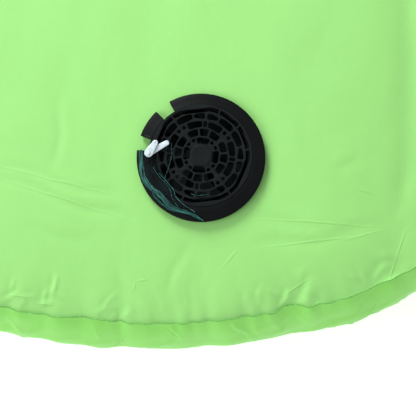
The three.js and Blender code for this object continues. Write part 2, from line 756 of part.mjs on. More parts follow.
const tapeFace = skin; // thickness of the zip's cloth tapes
const chainInner = endRadius + gap + tapeFace + gap;
const chainOuter = chainInner + chainThickness;
const sliderY = zipStart + sliderLength / 2 + 2;
const pullAxisX = chainOuter + gap + 1.5 + gap + 2.1;

function zip() {
  const zipEnd = zipStart + zipLength;
  const edge = zipSlit / 2 + 1.6;
  for (const [side, word] of [[-1, 'lower'], [1, 'upper']]) {
    const heights = [wallMiddle + side * edge, wallMiddle + side * (edge + zipTape)];
    const section = wallSection(Math.min(...heights), Math.max(...heights), -gap, -gap - tapeFace, 4);
    const strip = loft([zipStart, zipEnd].map((y) => section.map(
      ([inset, z]) => new THREE.Vector3(endRadius - inset, y, z))));
    add(mat, `zip_tape_${word}`, strip, tape);
    const rows = [side * zipSlit / 2, side * (zipSlit / 2 + chainWidth)].map((z) => wallMiddle + z);
    add(mat, `zip_chain_${word}`, box([chainInner, zipStart, Math.min(...rows)],
      [chainOuter, zipEnd, Math.max(...rows)]), webbing);
  }
  const stopRow = zipSlit / 2 + chainWidth;
  add(mat, 'zip_stop', box([chainInner, zipEnd + gap, wallMiddle - stopRow],
    [chainOuter + 1, zipEnd + 4, wallMiddle + stopRow]), steel);

  const half = sliderLength / 2;
  const plateOuter = chainOuter + gap + 1.5;
  const slider = join(
    box([chainOuter + gap, -half, -4.6], [plateOuter, half, 4.6]),
    box([chainInner - gap - 1.2, -half, -0.7], [plateOuter - 0.2, half, 0.7]),
    box([chainInner - gap - 1.2, -half, -edge + gap], [chainInner - gap, half, edge - gap]),
    box([plateOuter - 0.2, -1.6, -4.6], [pullAxisX + 1.4, 1.6, -3.4]),
    box([plateOuter - 0.2, -1.6, 3.4], [pullAxisX + 1.4, 1.6, 4.6]),
    disc(0.9, -4, 4, 12).translate(pullAxisX, 0, 0));
  add(mat, 'zip_slider', slider.translate(0, sliderY, wallMiddle), steel);

  const eye = 1.9;
  const pull = cut(
    join(disc(eye, -3, 3, 20), box([-0.7, 0, -3], [0.7, pullLength, 3])),
    disc(0.9 + gap, -4, 4, 16));
  add(mat, 'zip_pull', pull.translate(pullAxisX, sliderY, wallMiddle), steel);
}

// ---- Gauze cover and clip, in the blower's frame ----------------------------------------------

/** Height of the blower's outer face, from the grille out to the rim's edge. */
function faceAt(x, y) {
  const radius = Math.hypot(x, y + flangeOffset);
  const fall = (flangeTop - flangeEdge) / (flangeRadius - 2.2 - notchRadius);
  const rim = flangeTop - Math.max(radius - notchRadius, 0) * fall;
  return Math.max(rim, radius < notchRadius + 1 ? flangeTop + grilleStandProud : rim);
}

// The gauze and the clip are drawn for a rim of this radius, and grow with the rim.
const drawnRim = 55;
const onRim = (x, y) => [(x * flangeRadius) / drawnRim, (y * flangeRadius) / drawnRim];

// The free edge of the gauze across the grille, from beside the clip to the foot of the rim.
const gauzeEdge = [[-38, -1], [-36.6, -11], [-30, -20], [-23.5, -28], [-19, -36], [-11.8, -43], [-6, -48]];
const hemFrom = 176;
const hemTo = 267;

function gauzeCover() {
  const steps = 12;
  const edge = new THREE.CatmullRomCurve3(gauzeEdge.map(([x, y]) => new THREE.Vector3(...onRim(x, y), 0)));
  const lift = 0.35 + grilleStandProud;
  const bed = (x, y) => Math.max(faceAt(x, y), faceAt(x * 0.97, y * 0.97)) + lift;
  const hemInner = hemRadius - hemWidth / 2 - gap;
  const rings = spread(0, 1, steps).map((share) => {
    const angle = radians(hemFrom + (hemTo - hemFrom) * share);
    const rim = new THREE.Vector3(
      hemInner * Math.cos(angle), hemInner * Math.sin(angle) - flangeOffset, 0);
    const free = edge.getPoint(share);
    const row = spread(0, 1, 3).map((along) => free.clone().lerp(rim, along));
    return [
      ...row.map((p) => new THREE.Vector3(p.x, p.y, bed(p.x, p.y))),
      ...row.toReversed().map((p) => new THREE.Vector3(p.x, p.y, bed(p.x, p.y) + gauzeThickness)),
    ];
  });
  add(blower, 'gauze_screen', loft(rings), gauze);

  const section = [[-1, 0], [1, 0], [1, 1], [-1, 1]];
  const hem = spread(hemFrom, hemTo, 16).map((degrees) => section.map(([across, up]) => {
    const radius = hemRadius + (across * hemWidth) / 2;
    const angle = radians(degrees);
    const x = radius * Math.cos(angle);
    const y = radius * Math.sin(angle) - flangeOffset;
    const inner = hemRadius - hemWidth / 2;
    const low = faceAt(inner * Math.cos(angle), inner * Math.sin(angle) - flangeOffset) + gap;
    return new THREE.Vector3(x, y, low + up * hemThickness);
  }));
  add(blower, 'gauze_hem', loft(hem), satin);
}

const clipPin = onRim(-44.5, 1.6);
const upperTip = [clipPin[0] + 5.6, clipPin[1] + 8.6];
const lowerTip = [clipPin[0] + 15.2, clipPin[1] + 8.6];
const clipBase = flangeTop + 2 * grilleStandProud + gauzeThickness + 2 * gap + 0.2;

/** A drop-shaped leaf from the pin to its tip, with the pin's hole in it. */
function leaf(tip, pinEnd, tipEnd, z0) {
  const [x, y] = clipPin;
  const bodyDiscs = [
    disc(pinEnd, z0, z0 + clipThickness, 18).translate(x, y, 0),
    disc(tipEnd, z0, z0 + clipThickness, 16).translate(...tip, 0),
  ];
  const angle = Math.atan2(tip[1] - y, tip[0] - x);
  const length = Math.hypot(tip[0] - x, tip[1] - y);
  const taper = Math.asin((pinEnd - tipEnd) / length);
  const side = (end, sign) => [end * Math.sin(taper), sign * end * Math.cos(taper)];
  const web = new THREE.Shape([
    side(pinEnd, -1), [length + side(tipEnd, -1)[0], side(tipEnd, -1)[1]],
    [length + side(tipEnd, 1)[0], side(tipEnd, 1)[1]], side(pinEnd, 1),
  ].map(([u, v]) => new THREE.Vector2(u, v)));
  const middle = plate(web, z0, clipThickness).rotateZ(angle).translate(x, y, 0);
  const hole = disc(clipPinRadius + runningGap, z0 - 1, z0 + clipThickness + 1, 10).translate(x, y, 0);
  return cut(join(...bodyDiscs, middle), hole);
}

function clip() {
  const upperBase = clipBase + clipThickness + gap;
  add(blower, 'clip_lower_leaf', leaf(lowerTip, 3, 2.2, clipBase), whitePlastic);
  add(blower, 'clip_upper_leaf', leaf(upperTip, 3.7, 2.3, upperBase), whitePlastic);
  const top = upperBase + clipThickness + gap;
  add(blower, 'clip_pin', lathe([
    [0, clipBase - gap / 2], [clipPinRadius, clipBase - gap / 2], [clipPinRadius, top], [1.7, top],
    [1.3, top + 0.6], [0, top + 0.6],
  ], 12).translate(...clipPin, 0), whitePlastic);
}

skins();
baffles();
rimAndDuct();
intakeGrille();
patchAndClamp();
outletGuard();
impeller();
motor();
batteryBox();
batteryPocket();
lead();
handles();
zip();
gauzeCover();
clip();

export default mat;
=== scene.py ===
# %% [markdown]
# # An inflatable track mat with a built-in blower
# The mat is a long, round-ended bag of thin coated cloth. A small battery blower in its top skin
# keeps it full of air. The imported CAD model gives the frame: the sizes and places of the pieces are
# read from it. Small marks, such as creases and threads, are placed from those.

# %% Load the imported model
import json
import math

import bpy
import numpy as np
from mathutils import Matrix, Vector, noise
from mathutils.bvhtree import BVHTree


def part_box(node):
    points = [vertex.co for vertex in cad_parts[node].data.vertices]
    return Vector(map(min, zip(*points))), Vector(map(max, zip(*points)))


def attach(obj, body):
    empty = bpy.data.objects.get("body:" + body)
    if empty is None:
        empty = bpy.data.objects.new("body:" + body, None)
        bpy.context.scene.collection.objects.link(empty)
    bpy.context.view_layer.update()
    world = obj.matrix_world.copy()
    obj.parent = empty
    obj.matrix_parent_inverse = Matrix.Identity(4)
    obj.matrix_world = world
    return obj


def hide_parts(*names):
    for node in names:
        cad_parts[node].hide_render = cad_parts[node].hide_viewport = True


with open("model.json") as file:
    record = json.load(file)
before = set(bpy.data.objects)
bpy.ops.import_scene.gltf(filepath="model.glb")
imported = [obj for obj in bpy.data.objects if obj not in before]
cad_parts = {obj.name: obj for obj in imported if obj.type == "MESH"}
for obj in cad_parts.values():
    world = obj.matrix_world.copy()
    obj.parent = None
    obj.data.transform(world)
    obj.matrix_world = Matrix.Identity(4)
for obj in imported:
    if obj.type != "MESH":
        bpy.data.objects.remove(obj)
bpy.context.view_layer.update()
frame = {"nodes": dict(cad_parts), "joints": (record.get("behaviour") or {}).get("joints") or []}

# %% [markdown]
# The frame speaks of places through boxes and joints. The mat's own outline comes from the boxes
# of its walls and skins, and the blower's place and tilt come from the joint that its fan turns on.

# %% Read the mat's outline
wall_low, wall_high = (Vector(corner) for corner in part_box("wall_front"))
top_high = Vector(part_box("top_sheet")[1])
END_RADIUS = wall_high.x
STRAIGHT_HALF = -wall_high.y
SEAM_INSET = END_RADIUS - top_high.x
CROWN = top_high.z
WALL_MIDDLE = (wall_low.z + wall_high.z) / 2
SEAM_GAP = 0.0012
TOP_LIFT = 0.0075
TOP_SEAM = wall_high.z + SEAM_GAP
BOTTOM_SEAM = wall_low.z - SEAM_GAP
WALL_HALF = (TOP_SEAM - BOTTOM_SEAM) / 2
WALL_RADIUS = (WALL_HALF**2 + SEAM_INSET**2) / (2 * SEAM_INSET)
CROWN_REACH = 0.35
BOTTOM_REACH = 0.045
BAFFLE_X = sum(corner[0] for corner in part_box("baffle_right")) / 2
CLOTH = 0.0006
print("end radius", round(END_RADIUS, 4), "straight half", round(STRAIGHT_HALF, 4),
      "seams", round(BOTTOM_SEAM, 4), round(TOP_SEAM, 4), "baffle", round(BAFFLE_X, 4))

# %% Read the blower's frame
fan_joint = next(j for j in frame["joints"] if j["name"] == "impeller_spin")
FAN_DEPTH = 0.010
blower_up = Vector(fan_joint["axis"]).normalized()
blower_origin = Vector(fan_joint["pos_m"]) + blower_up * FAN_DEPTH
blower_right = Vector((0, 1, 0)).cross(blower_up).normalized()
blower_ahead = blower_up.cross(blower_right)
BLOWER = Matrix((blower_right, blower_ahead, blower_up)).transposed().to_4x4()
BLOWER.translation = blower_origin
print("blower at", [round(v, 4) for v in blower_origin], "tilt",
      round(math.degrees(blower_up.angle(Vector((0, 0, 1)))), 2))

# %% [markdown]
# The camera and the lights come first, so that every later piece can be judged as it is made. The
# view is from above, a little to the front of the round end, through a long lens that keeps the
# shapes flat. One large soft light comes from behind the mat and a weak one from the left.

# %% Camera
def placed(name, data):
    """A new object in the scene."""
    obj = bpy.data.objects.new(name, data)
    bpy.context.collection.objects.link(obj)
    return obj


VIEW_WIDTH = 0.3545
LENS = 150
ELEVATION = math.radians(82)
aim = blower_origin + Vector((0.006, -0.0448, 0.0))
camera_data = bpy.data.cameras.new("camera")
camera_data.lens = LENS
camera_data.sensor_width = 36
distance = VIEW_WIDTH * LENS / camera_data.sensor_width
camera = placed("camera", camera_data)
back = Vector((0, -math.cos(ELEVATION), math.sin(ELEVATION)))
camera.location = aim + back * distance
camera.rotation_euler = back.to_track_quat("Z", "Y").to_euler()
camera_data.clip_end = 60
bpy.context.scene.camera = camera
print("camera", round(distance, 3), "m away")

# %% Lights and floor
def soft_light(name, place, size, power):
    data = bpy.data.lights.new(name, "AREA")
    data.shape = "DISK"
    data.size = size
    data.energy = power
    lamp = placed(name, data)
    lamp.location = place
    lamp.rotation_euler = (Vector(place) - blower_origin).to_track_quat("Z", "Y").to_euler()


soft_light("key_light", (-1.5, 1.9, 2.5), 1.7, 135)
soft_light("fill_light", (-2.2, -1.6, 2.4), 2.5, 42)
world = bpy.data.worlds.new("studio")
world.use_nodes = True
world.node_tree.nodes["Background"].inputs["Color"].default_value = (1, 1, 1, 1)
world.node_tree.nodes["Background"].inputs["Strength"].default_value = 0.45
bpy.context.scene.world = world
bpy.context.scene.view_settings.view_transform = "Standard"


def deselect():
    for obj in bpy.context.selected_objects:
        obj.select_set(False)


def take(obj):
    """Only this object is selected, and it is the active one."""
    deselect()
    obj.select_set(True)
    bpy.context.view_layer.objects.active = obj
    return obj


def named(name):
    """The primitive that was just added, under its own name."""
    obj = bpy.context.active_object
    obj.name = name
    obj.data.name = name
    return obj


def in_edit_mode(obj, *steps):
    """The whole mesh is selected in edit mode, and the steps are taken there."""
    take(obj)
    bpy.ops.object.mode_set(mode="EDIT")
    bpy.ops.mesh.select_all(action="SELECT")
    for step in steps:
        step()
    bpy.ops.object.mode_set(mode="OBJECT")
    return obj


def joined(first, *others):
    """The others become part of the first."""
    take(first)
    for other in others:
        other.select_set(True)
    bpy.ops.object.join()
    return first


deselect()
bpy.ops.mesh.primitive_plane_add(size=120, location=(0, 0, -0.0005))
floor = named("studio_floor")
print("lights and floor ready")

# %% [markdown]
# A material here is a small node tree. `Bench` keeps the making of one short: it starts a material
# with its fixed values on the shader's own sockets, and adds noises, ramps and bumps by name.

# %% A bench for materials
CREASE_WANDER = 0.004
CREASE_WANDER_SCALE = 28
CREASE_HALF = 0.58
RIGHT_THROUGH = 1000


class Bench:
    def __init__(self, name, color, roughness, **fixed):
        self.material = bpy.data.materials.new(name)
        self.material.use_nodes = True
        self.tree = self.material.node_tree
        self.shader = self.tree.nodes["Principled BSDF"]
        self.shader.inputs["Base Color"].default_value = (*color, 1)
        self.shader.inputs["Roughness"].default_value = roughness
        for socket, value in fixed.items():
            self.shader.inputs[socket.replace("_", " ")].default_value = value
        self.place = self.add("ShaderNodeTexCoord").outputs["Object"]
        self.normal = None

    def add(self, kind, **settings):
        node = self.tree.nodes.new(kind)
        for key, value in settings.items():
            setattr(node, key, value)
        return node

    def link(self, out, into):
        self.tree.links.new(out, into)

    def stretched(self, scale=(1, 1, 1), turn=(0, 0, 0)):
        mapping = self.add("ShaderNodeMapping")
        mapping.inputs["Scale"].default_value = scale
        mapping.inputs["Rotation"].default_value = turn
        self.link(self.place, mapping.inputs["Vector"])
        return mapping.outputs["Vector"]

    def noise(self, scale, detail=2, rough=0.5, where=None):
        node = self.add("ShaderNodeTexNoise")
        node.inputs["Scale"].default_value = scale
        node.inputs["Detail"].default_value = detail
        node.inputs["Roughness"].default_value = rough
        self.link(where or self.place, node.inputs["Vector"])
        return node.outputs["Fac"]

    def creases(self, rows, width, upright=False):
        """Straight ridges from point to point, pointed at both ends; upright ones lie in X and Z."""
        wander = self.add("ShaderNodeVectorMath", operation="MULTIPLY_ADD")
        node = self.add("ShaderNodeTexNoise")
        node.inputs["Scale"].default_value = CREASE_WANDER_SCALE
        self.link(self.place, node.inputs["Vector"])
        self.link(node.outputs["Color"], wander.inputs[0])
        wander.inputs[1].default_value = (CREASE_WANDER,) * 3
        self.link(self.place, wander.inputs[2])
        total = None
        for (x0, y0), (x1, y1) in rows:
            angle = math.atan2(y1 - y0, x1 - x0)
            half = CREASE_HALF * math.hypot(x1 - x0, y1 - y0)
            across, along = CREASE_WANDER / 2 + (x0 + x1) / 2, CREASE_WANDER / 2 + (y0 + y1) / 2
            mapping = self.add("ShaderNodeMapping", vector_type="TEXTURE")
            if upright:
                middle, turn, size = (across, 0, along), (0, -angle, 0), (half, RIGHT_THROUGH, width)
            else:
                middle, turn, size = (across, along, 0), (0, 0, angle), (half, width, RIGHT_THROUGH)
            for socket, value in (("Location", middle), ("Rotation", turn), ("Scale", size)):
                mapping.inputs[socket].default_value = value
            self.link(wander.outputs["Vector"], mapping.inputs["Vector"])
            ridge = self.add("ShaderNodeTexGradient", gradient_type="SPHERICAL")
            self.link(mapping.outputs["Vector"], ridge.inputs["Vector"])
            if total is None:
                total = ridge.outputs["Fac"]
            else:
                both = self.add("ShaderNodeMath", operation="MAXIMUM")
                self.link(total, both.inputs[0])
                self.link(ridge.outputs["Fac"], both.inputs[1])
                total = both.outputs[0]
        return total

    def wave(self, scale, direction="X"):
        node = self.add("ShaderNodeTexWave", bands_direction=direction)
        node.inputs["Scale"].default_value = scale
        self.link(self.place, node.inputs["Vector"])
        return node.outputs["Fac"]

    def ramp(self, fac, stops):
        node = self.add("ShaderNodeValToRGB")
        ramp = node.color_ramp
        while len(ramp.elements) < len(stops):
            ramp.elements.new(0.5)
        for element, (at, color) in zip(ramp.elements, stops):
            element.position = at
            element.color = (*color, 1)
        self.link(fac, node.inputs["Fac"])
        return node.outputs["Color"]

    def span(self, fac, low, high):
        node = self.add("ShaderNodeMapRange")
        node.inputs["To Min"].default_value = low
        node.inputs["To Max"].default_value = high
        self.link(fac, node.inputs["Value"])
        return node.outputs["Result"]

    def color(self, fac, stops):
        self.link(self.ramp(fac, stops), self.shader.inputs["Base Color"])
        return self

    def rough(self, fac, low, high):
        self.link(self.span(fac, low, high), self.shader.inputs["Roughness"])
        return self

    def bump(self, height, strength, depth):
        """One more layer of relief; depth is in metres."""
        node = self.add("ShaderNodeBump")
        node.inputs["Strength"].default_value = strength
        node.inputs["Distance"].default_value = depth
        self.link(height, node.inputs["Height"])
        if self.normal:
            self.link(self.normal, node.inputs["Normal"])
        self.normal = node.outputs["Normal"]
        self.link(self.normal, self.shader.inputs["Normal"])
        return self


def shades(color, low, high):
    """A colour a little darker and a little lighter than itself, for a ramp."""
    return [(0.3, [c * low for c in color]), (0.7, [min(c * high, 1) for c in color])]


print("bench ready")

# %% Floor finish
pale = Bench("pale_floor", (0.8, 0.8, 0.8), 0.7, Emission_Color=(1, 1, 1, 1), Emission_Strength=0.62)
pale.color(pale.noise(1.5), shades((0.8, 0.8, 0.8), 0.99, 1.0))
floor.data.materials.append(pale.material)

# %% [markdown]
# The cloth is thin nylon with a coating on its inner face: even in colour, with a soft sheen, a
# very fine plain weave and a faint crinkle that never quite irons out. The weave and the crinkle
# are bumps of their true depth, and the larger folds are in the mesh.

# %% Cloth finishes
# From and to: on the top in metres from the blower, and on the wall across from the blower
# and down from the top seam.
TOP_CREASES = [
    ((0.049, -0.053), (0.154, -0.060)), ((0.046, -0.078), (0.145, -0.067)),
    ((0.119, -0.072), (0.157, -0.062)), ((0.132, -0.026), (0.150, -0.032)),
    ((0.177, -0.059), (0.167, -0.089)), ((0.170, -0.081), (0.159, -0.113)),
    ((0.033, -0.079), (0.018, -0.095)), ((0.145, -0.120), (0.157, -0.117)),
    ((-0.164, -0.118), (-0.146, -0.120)), ((-0.144, -0.124), (-0.126, -0.126)),
    ((-0.058, -0.116), (-0.056, -0.107)), ((-0.056, -0.107), (-0.044, -0.105)),
    ((-0.185, -0.006), (-0.070, -0.034)), ((-0.180, -0.017), (-0.055, -0.056)),
    ((0.093, -0.103), (0.071, -0.118)),
]
WALL_CREASES = [
    ((-0.107, 0.060), (-0.087, 0.035)), ((-0.083, 0.045), (-0.063, 0.008)),
    ((-0.043, 0.050), (-0.036, 0.034)), ((-0.036, 0.034), (-0.022, 0.012)),
    ((-0.029, 0.000), (-0.016, 0.020)), ((0.145, 0.035), (0.154, 0.015)),
]
top_creases = [[(blower_origin.x + x, blower_origin.y + y) for x, y in row] for row in TOP_CREASES]
wall_creases = [[(blower_origin.x + x, TOP_SEAM - down) for x, down in row] for row in WALL_CREASES]


def coated_cloth(name, color, roughness=0.5, creases=(), upright=False):
    bench = Bench(name, color, roughness, Sheen_Weight=0.12, Sheen_Roughness=0.4,
                  Specular_IOR_Level=0.3)
    cloud = bench.noise(3.0, 3)
    bench.color(cloud, shades(color, 0.97, 1.03))
    bench.rough(bench.noise(60, 2), roughness - 0.05, roughness + 0.08)
    bench.bump(bench.noise(26, 4, 0.55, bench.stretched((1, 0.55, 1), (0, 0, 0.5))), 0.5, 0.0012)
    if creases:
        width, depth = (0.0022, 0.0008) if upright else (0.0012, 0.00027)
        bench.bump(bench.creases(creases, width, upright), 1.0, depth)
    bench.bump(bench.noise(95, 3, 0.6), 0.35, 0.0004)
    bench.bump(bench.wave(900, "X"), 0.12, 0.00008)
    bench.bump(bench.wave(900, "Y"), 0.12, 0.00008)
    return bench.material


TOP_GREEN = (0.330, 0.745, 0.208)
# The walls' green is set apart from the top's to match how the walls look in their light, so it holds
# painted light and shade.
SIDE_GREEN = (0.280, 0.790, 0.126)
top_cloth = coated_cloth("light_green_coated_nylon", TOP_GREEN, creases=top_creases)
side_cloth = coated_cloth("side_wall_coated_nylon", SIDE_GREEN, creases=wall_creases, upright=True)
print("cloth ready")

# %% [markdown]
# ## The inflated skin
# On the real mat the top, the walls and the bottom are separate panels, sewn edge to edge. Each
# seam draws its edge up a little, so the cloth beside it puckers, and the air pulls long faint
# creases from the baffles and the blower. All panels are laid out on one grid that runs round the
# mat in stations and across it in rows, so their edges meet, and each panel is then cut from it.

# %% Stations round the outline
FRONT_STATIONS = 330
REAR_STATIONS = 90
SIDE_STATIONS = 70


def outline_stations():
    """Points round the mat's outline, from the right side on, closer together at the blower's end."""
    rows = []
    for k in range(SIDE_STATIONS):
        y = -STRAIGHT_HALF + 2 * STRAIGHT_HALF * k / SIDE_STATIONS
        rows.append((y, 1.0, 0.0))
    for k in range(REAR_STATIONS):
        turn = math.pi * k / REAR_STATIONS
        rows.append((STRAIGHT_HALF, math.cos(turn), math.sin(turn)))
    for k in range(SIDE_STATIONS):
        y = STRAIGHT_HALF - 2 * STRAIGHT_HALF * k / SIDE_STATIONS
        rows.append((y, -1.0, 0.0))
    near = math.pi * 1.03
    crowd = np.linspace(0, math.pi, 721)
    weight = 1 + 5.5 * np.exp(-(((crowd - near / 2) / 0.42) ** 4))
    walked = np.concatenate([[0], np.cumsum((weight[1:] + weight[:-1]) / 2)])
    for k in range(FRONT_STATIONS):
        turn = math.pi + np.interp(walked[-1] * k / FRONT_STATIONS, walked, crowd)
        rows.append((-STRAIGHT_HALF, math.cos(turn), math.sin(turn)))
    return np.array(rows)


stations = outline_stations()
seam_points = np.stack([stations[:, 1] * END_RADIUS, stations[:, 0] + stations[:, 2] * END_RADIUS], 1)
steps = np.linalg.norm(np.roll(seam_points, -1, 0) - seam_points, axis=1)
along = np.concatenate([[0], np.cumsum(steps)[:-1]])
perimeter = steps.sum()
print(len(stations), "stations over", round(perimeter, 3), "m")

# %% [markdown]
# The round end is not a perfect half circle: the air pushes the cloth out most where the panel was
# cut a little full, to the right of the blower. The table gives that fullness by place across the
# mat, and a few passes of averaging make it one smooth swell.

# %% The swell of the round end
SWELL_AT = [-0.48, -0.36, -0.171, -0.026, 0.057, 0.099, 0.142, 0.168, 0.202, 0.228, 0.27, 0.36, 0.48]
SWELL_BY = [0.0, 0.002, 0.005, 0.005, 0.008, 0.0095, 0.013, 0.016, 0.020, 0.021, 0.020, 0.009, 0.0]
swell = np.interp(seam_points[:, 0], SWELL_AT, SWELL_BY) * np.where(stations[:, 2] < 0, 1.0, 0.0)
swell *= np.abs(stations[:, 2])
for _ in range(60):
    swell = (np.roll(swell, 1) + 2 * swell + np.roll(swell, -1)) / 4
SWELL_REACH = 0.075
print("the end swells by up to", round(float(swell.max()) * 1000, 1), "mm")

# %% Heights of the plain inflated shape
SHOULDER = 0.060


def crown_height(inset):
    """A quarter ellipse that eases into a gentler slope over the shoulder beside the seam."""
    share = np.clip((inset - SEAM_INSET) / CROWN_REACH, 0, 1)
    rise = (CROWN - TOP_SEAM) * np.sqrt(1 - (1 - share) ** 2)
    edge = SHOULDER / CROWN_REACH
    level = (CROWN - TOP_SEAM) * math.sqrt(1 - (1 - edge) ** 2)
    slope = (CROWN - TOP_SEAM) * (1 - edge) / math.sqrt(1 - (1 - edge) ** 2) * edge
    t = np.clip(share / edge, 0, 1)
    ease = ((2 * t**3 - 3 * t**2 + 1) * TOP_LIFT + (t**3 - 2 * t**2 + t) * 0.024
            + (3 * t**2 - 2 * t**3) * level + (t**3 - t**2) * slope)
    return TOP_SEAM + np.where(share < edge, ease, rise)


def floor_height(inset):
    share = np.clip((inset - SEAM_INSET) / BOTTOM_REACH, 0, 1)
    return BOTTOM_SEAM * (1 - np.sqrt(1 - (1 - share) ** 2))


def wall_inset(z):
    return WALL_RADIUS - np.sqrt(WALL_RADIUS**2 - (z - WALL_MIDDLE) ** 2)


def rows_for(panel):
    """The inset and height of each row of a panel, and how far along the panel it lies."""
    if panel == "top":
        reach = np.concatenate([np.linspace(0, 0.04, 20)[:-1], np.linspace(0.04, 0.17, 35)[:-1],
                                np.linspace(0.17, 0.3, 14)[:-1],
                                np.linspace(0.3, END_RADIUS - SEAM_INSET, 9)])
        inset = SEAM_INSET + reach
        return inset, crown_height(inset), reach
    if panel == "wall":
        angle = math.asin(WALL_HALF / WALL_RADIUS)
        turn = np.linspace(angle, -angle, 37)
        height = WALL_MIDDLE + WALL_RADIUS * np.sin(turn)
        ease = np.clip((height - 0.092) / (TOP_SEAM - 0.092), 0, 1)
        return wall_inset(height), height + TOP_LIFT * ease, (turn[0] - turn) * WALL_RADIUS
    reach = np.concatenate([np.linspace(0, BOTTOM_REACH, 9)[:-1],
                            np.linspace(BOTTOM_REACH, END_RADIUS - SEAM_INSET, 9)])
    inset = SEAM_INSET + reach
    return inset, floor_height(inset), reach


for panel in ("top", "wall", "bottom"):
    print(panel, "rows", len(rows_for(panel)[0]))

# %% [markdown]
# ### Puckers, creases and crinkles
# The puckers are gathers between stitches: short waves along the seam that start at the seam and
# die away into the cloth. Their spacing and height wander, so they are made from a few waves with
# wandering phase. The creases are straight strokes where the cloth is pulled.

# %% Relief of the cloth
chance = np.random.default_rng(7)


def wandering_wave(s, length, wander, seed):
    """A wave along the seam whose phase drifts, closed round the outline."""
    turns = round(perimeter / length)
    drift = np.array([noise.noise(Vector((math.cos(a) * 4 + seed, math.sin(a) * 4, seed * 1.7)))
                      for a in 2 * math.pi * s / perimeter])
    return np.sin(2 * math.pi * turns * s / perimeter + wander * drift + seed)


def wandering_level(s, scale, seed, low=0.15):
    """How strong the puckers are along the seam."""
    raw = np.array([noise.noise(Vector((math.cos(a) * scale, math.sin(a) * scale, seed)))
                    for a in 2 * math.pi * s / perimeter])
    return np.clip(0.5 + 1.1 * raw, low, 1.2)


# Places where the seam is drawn in: across the mat, how far, and over what width.
TUCKS = [
    (0.135, 0.0045, 0.009), (0.170, -0.0015, 0.012), (-0.040, 0.0022, 0.020), (0.215, 0.002, 0.010)]


def tuck_at(column):
    """How far a few places of the round end's seam are drawn in."""
    x = seam_points[column, 0]
    front = np.clip(-stations[column, 2], 0, 1)
    return sum(depth * np.exp(-(((x - at) / width) ** 2)) for at, depth, width in TUCKS) * front


short = wandering_wave(along, 0.017, 9, 1.3) * wandering_level(along, 18, 4.0)
middle = wandering_wave(along, 0.034, 7, 5.1) * wandering_level(along, 11, 9.0)
broad = wandering_wave(along, 0.085, 5, 8.7) * wandering_level(along, 6, 2.0)

# Each crease: from, to (metres from the blower, in plan), half width, depth.
CREASES = [
    ((-0.185, -0.006), (-0.070, -0.034), 0.0040, 0.0011),
    ((-0.180, -0.017), (-0.055, -0.056), 0.0050, 0.0016),
    ((-0.150, -0.060), (-0.090, -0.072), 0.0060, 0.0008),
    ((0.042, -0.078), (0.165, -0.058), 0.0050, 0.0015),
    ((0.058, -0.054), (0.126, -0.060), 0.0045, 0.0009),
    ((0.118, -0.014), (0.139, -0.002), 0.0045, 0.0010),
    ((0.095, -0.100), (0.076, -0.128), 0.0050, 0.0016),
    ((0.080, -0.098), (0.112, -0.140), 0.0050, 0.0012),
    ((-0.120, 0.055), (-0.128, -0.010), 0.0060, 0.0007),
    ((0.070, 0.066), (0.120, 0.120), 0.0070, 0.0006),
    ((-0.010, -0.070), (-0.030, -0.125), 0.0060, 0.0008),
    ((0.150, -0.085), (0.185, -0.120), 0.0060, 0.0013),
    ((-0.075, -0.100), (-0.050, -0.122), 0.0055, 0.0010),
]
BAFFLE_DIP = 0.0035
BAFFLE_HALF = 0.010
FLAT_ROUND_RIM = 0.066
CREASE_SLIM, CREASE_SHALLOW = 0.72, 0.75


def crease_relief(x, y):
    drop = np.zeros_like(x)
    for (x0, y0), (x1, y1), width, depth in CREASES:
        start = np.array([x0, y0]) + np.array(blower_origin[:2])
        run = np.array([x1 - x0, y1 - y0])
        length = np.linalg.norm(run)
        run = run / length
        u = (x - start[0]) * run[0] + (y - start[1]) * run[1]
        v = -(x - start[0]) * run[1] + (y - start[1]) * run[0]
        v = v + 0.0035 * np.sin(u * 70 + x0 * 90)
        fade = np.clip(u / length, 0, 1) * np.clip(1 - u / length, 0, 1) * 4
        fade = np.clip(fade, 0, 1) ** 0.7
        width, depth = CREASE_SLIM * width, CREASE_SHALLOW * depth
        drop -= depth * fade * np.exp(-((v / width) ** 2))
        drop += 0.45 * depth * fade * np.exp(-(((v - 2.1 * width) / (1.5 * width)) ** 2))
    return drop


def soft_noise(x, y, scale_x, scale_y, turn, seed):
    c, s = math.cos(turn), math.sin(turn)
    return np.array([noise.noise(Vector(((a * c - b * s) * scale_x, (a * s + b * c) * scale_y, seed)))
                     for a, b in zip(x, y)])


def top_relief(x, y, reach, which):
    """Height to add to the top skin, in metres, by place and by distance from the seam."""
    rise = 0.0012 * short[which] * np.exp(-reach / 0.010) * (1 - np.exp(-reach / 0.002))
    rise += 0.0011 * middle[which] * np.exp(-reach / 0.018) * (1 - np.exp(-reach / 0.004))
    rise += 0.0008 * broad[which] * np.exp(-reach / 0.045) * (1 - np.exp(-reach / 0.012))
    for side in (-1, 1):
        bend = np.clip((-0.84 - y) / 0.116, 0, 1.3)
        line = side * (BAFFLE_X - 0.019 * bend**1.5) + 0.0015 * np.sin(y * 31)
        off = np.abs(x - line)
        beyond = np.clip((x - line) * side, 0, 0.07) * np.clip((-0.70 - y) / 0.15, 0, 1)
        rise -= 0.11 * beyond * np.clip(reach / 0.045, 0, 1)
        fade = np.clip(reach / 0.06, 0.25, 1)
        rise -= BAFFLE_DIP * fade * (1 / (1 + (off / BAFFLE_HALF) ** 2))
        rise -= BAFFLE_DIP * 0.8 * np.exp(-((off / 0.05) ** 2))
    rise += fold_relief(along[which], reach, top_folds, 0.0011)
    rise += crease_relief(x, y)
    rise += 0.0007 * soft_noise(x, y, 26, 11, 0.4, 3.1)
    rise += 0.0006 * np.abs(soft_noise(x, y, 34, 15, -0.7, 7.7))
    rise += 0.0020 * soft_noise(x, y, 5, 4, 0.0, 1.9)
    rise *= 1 - np.exp(-reach / 0.004)
    away = np.hypot(x - blower_origin.x, y - blower_origin.y)
    return rise * np.clip((away - FLAT_ROUND_RIM + 0.004) / 0.02, 0, 1)


